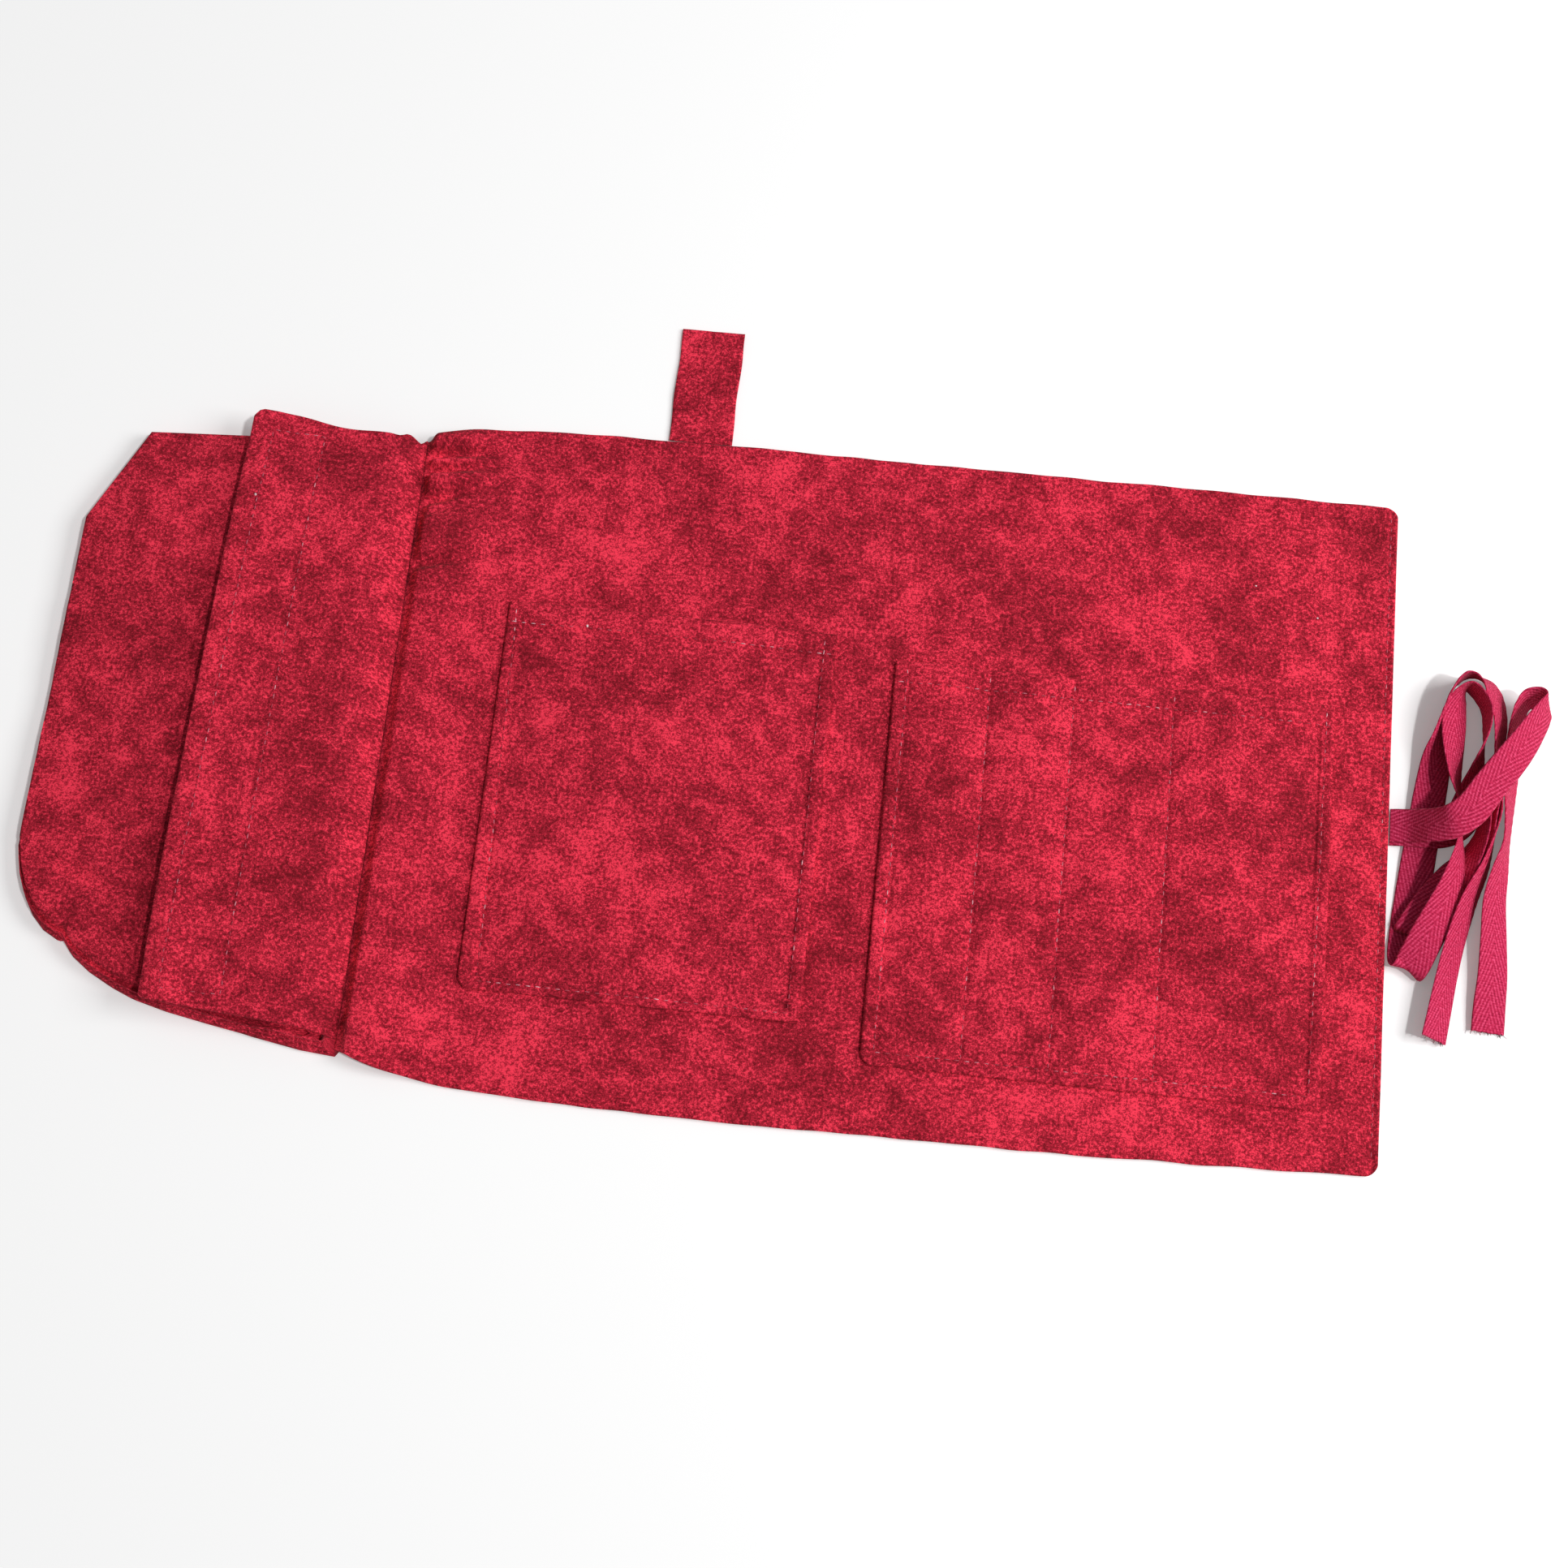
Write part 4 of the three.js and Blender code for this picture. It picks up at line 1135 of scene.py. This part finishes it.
def thread_material():
    """Polyester thread: glossier than cotton, its plies turning, with dull patches and bright patches that
    are painted shine.
    """
    material, tree = new_material("polyester_sewing_thread")
    uv = add_node(tree, "ShaderNodeUVMap", {"uv_map": "UVMap"}).outputs["UV"]
    parts = add_node(tree, "ShaderNodeSeparateXYZ", {"Vector": uv}).outputs
    # The plies of the thread lean, so they turn with the way along it and across it together.
    lean = calculate(tree, "ADD", parts[0], parts[1])
    ply = calculate(tree, "SINE", calculate(tree, "MULTIPLY", lean, 2 * math.pi / (PLY_TURN * UV_PER_MM)))
    # Painted highlight: patches where the thread catches the light are drawn as pale pink in its base
    # colour.
    painted_shine = add_noise(tree, uv, STITCH_PATCH, {"Detail": 3})
    tone = calculate(tree, "MULTIPLY_ADD", ply, 0.05, painted_shine)
    add_shader(tree, {
        "Base Color": add_ramp(tree, tone, [(0.41, "#a8283c"), (0.57, "#cc6478"), (0.71, "#f3bec7")]),
        "Normal": add_bump(tree, ply, 0.5, 0.08),
        "Roughness": 0.45,
    })
    return material


thread = thread_material()
bpy.ops.object.select_all(action="DESELECT")
bpy.ops.mesh.primitive_uv_sphere_add(segments=6, ring_count=6, radius=0.5)
bpy.ops.object.mode_set(mode="EDIT")
bpy.ops.mesh.select_all(action="SELECT")
bpy.ops.transform.rotate(value=math.pi / 2, orient_axis="Y", center_override=(0, 0, 0))
bpy.ops.transform.resize(value=(STITCH_LENGTH, STITCH_WIDTH, 0.5))
bpy.ops.object.mode_set(mode="OBJECT")
stitch_points, stitch_faces = take_primitive()
# The ends of the stitch bend down into the cloth.
stitch_points[:, 2] -= STITCH_BEND * (2 * stitch_points[:, 0] / STITCH_LENGTH) ** 4
print("One stitch:", len(stitch_points), "points,", len(stitch_faces), "faces")

# %% [markdown]
# A seam is a line of points in plan. The stitches are spaced along it, and the height of the cloth
# under both ends of each stitch gives its slope.

# %% The seams
# How far below the mouth a pocket's upright seams start.
SEAM_START = 2.2


def sew(name, lines, top):
    """Lays stitches along lines of (x, y) points on the cloth whose height is top(x, y)."""
    points = []
    faces = []
    uvs = []
    wobble = np.random.default_rng(len(lines) * 17 + len(name))
    for line in lines:
        line = np.array(line, float)
        run = distances(line)
        count = max(int(round(run[-1] / STITCH_PITCH)), 1)
        middles = (np.arange(count) + 0.5) * run[-1] / count
        ends = [np.clip(middles + d, 0, run[-1]) for d in (-STITCH_LENGTH / 2, STITCH_LENGTH / 2)]
        (ax, ay), (bx, by) = [(np.interp(e, run, line[:, 0]), np.interp(e, run, line[:, 1])) for e in ends]
        az, bz = np.asarray(top(ax, ay)), np.asarray(top(bx, by))
        for k in range(count):
            a = np.array([ax[k], ay[k], az[k]])
            b = np.array([bx[k], by[k], bz[k]])
            forward = (b - a) / np.linalg.norm(b - a)
            sideways = np.cross((0, 0, 1), forward)
            sideways /= np.linalg.norm(sideways)
            upward = np.cross(forward, sideways)
            forward = forward + sideways * wobble.normal(0, 0.05)
            centre = (a + b) / 2 + upward * 0.1 + sideways * wobble.normal(0, 0.08)
            size = wobble.uniform(0.9, 1.05)
            first = len(points)
            for p in stitch_points:
                points.append(centre + size * (p[0] * forward + p[1] * sideways + p[2] * upward))
                uvs.append((p[0] + STITCH_PITCH * k, p[1] + 5000 + 40 * len(lines)))
            faces += [tuple(first + i for i in f) for f in stitch_faces]
    join_frame(make_piece(name, points, faces, uvs), thread, "cotton")


def pocket_lines(pocket):
    """The seams of a pocket: round its sides and base, along its mouth, and its dividers."""
    (left_top, left_base), (right_top, right_base) = pocket["side_lines"]
    x0, x1 = pocket["left"], pocket["left"] + pocket["width"]
    base = pocket["top"] - pocket["height"] + pocket["base_line"]
    top = pocket["top"] - SEAM_START
    hem = pocket["top"] - MOUTH_HEM
    lines = [
        [(x0 + left_top, top), (x0 + left_base, base), (x1 - right_base, base), (x1 - right_top, top)],
        [(x0 + 0.8, hem), (x1 - 0.8, hem)],
    ]
    lines += [[(x0 + seam, top), (x0 + seam, base)] for seam in pocket["seams"]]
    return lines


sew("plain_pocket_stitches", pocket_lines(PLAIN), lambda x, y: pocket_top(PLAIN, x, y))
sew("divided_pocket_stitches", pocket_lines(DIVIDED), lambda x, y: pocket_top(DIVIDED, x, y))
end_x = RIGHT_EDGE - TOPSTITCH
sew("panel_stitches", [[(end_x, -121), (end_x, 123)]], panel_top)
corners = [(left, high), (left, low), (right_side, low), (right_side, high), (left, high)]
sew("flap_stitches", [[(float(slanted(x, y)), y) for x, y in corners]], flap_top)

# %% [markdown]
# A few white specks of lint lie on the cloth, as on any cotton that was cut and sewn. Each is an
# icosphere pressed flat, copied to the places where the photograph shows one.

# %% Lint
bpy.ops.object.select_all(action="DESELECT")
bpy.ops.mesh.primitive_ico_sphere_add(subdivisions=2, radius=1)
ball_points, ball_faces = take_primitive()
# Each speck: its place and the cloth that it lies on.
LINT = [
    (131.2, 89.3, panel_top),
    (154.8, 78.9, panel_top),
    (-245.3, 22.9, bag_surface),
    (-244.7, 30, bag_surface),
    (-245, -0.6, bag_surface),
    (-250.5, 19.9, bag_surface),
    (-242, 79.2, flap_top),
    (-115.2, 45, lambda x, y: pocket_top(PLAIN, x, y)),
]
lint_points = []
lint_faces = []
for k, (x, y, top) in enumerate(LINT):
    z = float(np.max(top(np.array([x]), np.array([y]))))
    first = len(lint_points)
    # A flat oval, each a little wider than the one before.
    lint_points += (ball_points * (0.42, 0.3 + 0.04 * k, 0.16) + (x, y, z + 0.12)).tolist()
    lint_faces += [tuple(first + i for i in f) for f in ball_faces]
# Loose white fibres with the cloth showing through them.
lint_fluff = fibre_material("white_lint", 2500, 2, [(0.35, "#c98a94"), (0.6, "#f2e2e4")], 1)
join_frame(make_piece("lint_specks", lint_points, lint_faces), lint_fluff, "cotton")
print("Specks of lint:", len(LINT))

# %% [markdown]
# The table is a white sheet. Its colour for the camera is lifted to pure white, as in the photograph,
# but it still takes the shadows and throws the light that a white table throws.

# %% The table
def table_material():
    """Matt white paper that glows a little for the camera alone."""
    material, tree = new_material("white_paper_backdrop")
    matt = add_node(tree, "ShaderNodeBsdfDiffuse", {"Color": (0.9, 0.9, 0.9, 1)}).outputs[0]
    seen = add_node(tree, "ShaderNodeLightPath").outputs["Is Camera Ray"]
    glow = add_node(tree, "ShaderNodeEmission", {"Strength": calculate(tree, "MULTIPLY", seen, 0.16)})
    both = add_node(tree, "ShaderNodeAddShader", {0: matt, 1: glow.outputs[0]})
    add_node(tree, "ShaderNodeOutputMaterial", {"Surface": both.outputs[0]})
    return material


bpy.ops.object.select_all(action="DESELECT")
bpy.ops.mesh.primitive_plane_add(size=6, location=(0, 0, -0.1 * MM))
table_top = bpy.context.object
table_top.name = "table_top"
table_top.data.materials.append(table_material())

# %% [markdown]
# The light is a dim white room with two lamps to the right: a small far one that draws the clear
# edges of the shadows, and a broad near one, like a window, that shades the folds softly and fades a
# little to the left. A level white surface turns just white in the middle.

# %% The light
world = bpy.data.worlds.new("white_room")
world.use_nodes = True
world.node_tree.nodes["Background"].inputs["Color"].default_value = (1, 1, 1, 1)
world.node_tree.nodes["Background"].inputs["Strength"].default_value = 0.25
scene.world = world


def add_lamp(name, kind, energy, place):
    """A lamp at a place in metres, turned towards the origin."""
    data = bpy.data.lights.new(name, kind)
    data.energy = energy
    lamp = bpy.data.objects.new(name, data)
    lamp.location = place
    lamp.rotation_euler = Vector(place).to_track_quat("Z", "Y").to_euler()
    scene.collection.objects.link(lamp)
    print(name, energy)
    return data


add_lamp("clear_lamp", "SUN", 1.25, (0.5, -0.2, 1.0)).angle = math.radians(4)
add_lamp("window_light", "AREA", 9.9, (0.95, 0.06, 0.85)).size = 0.6
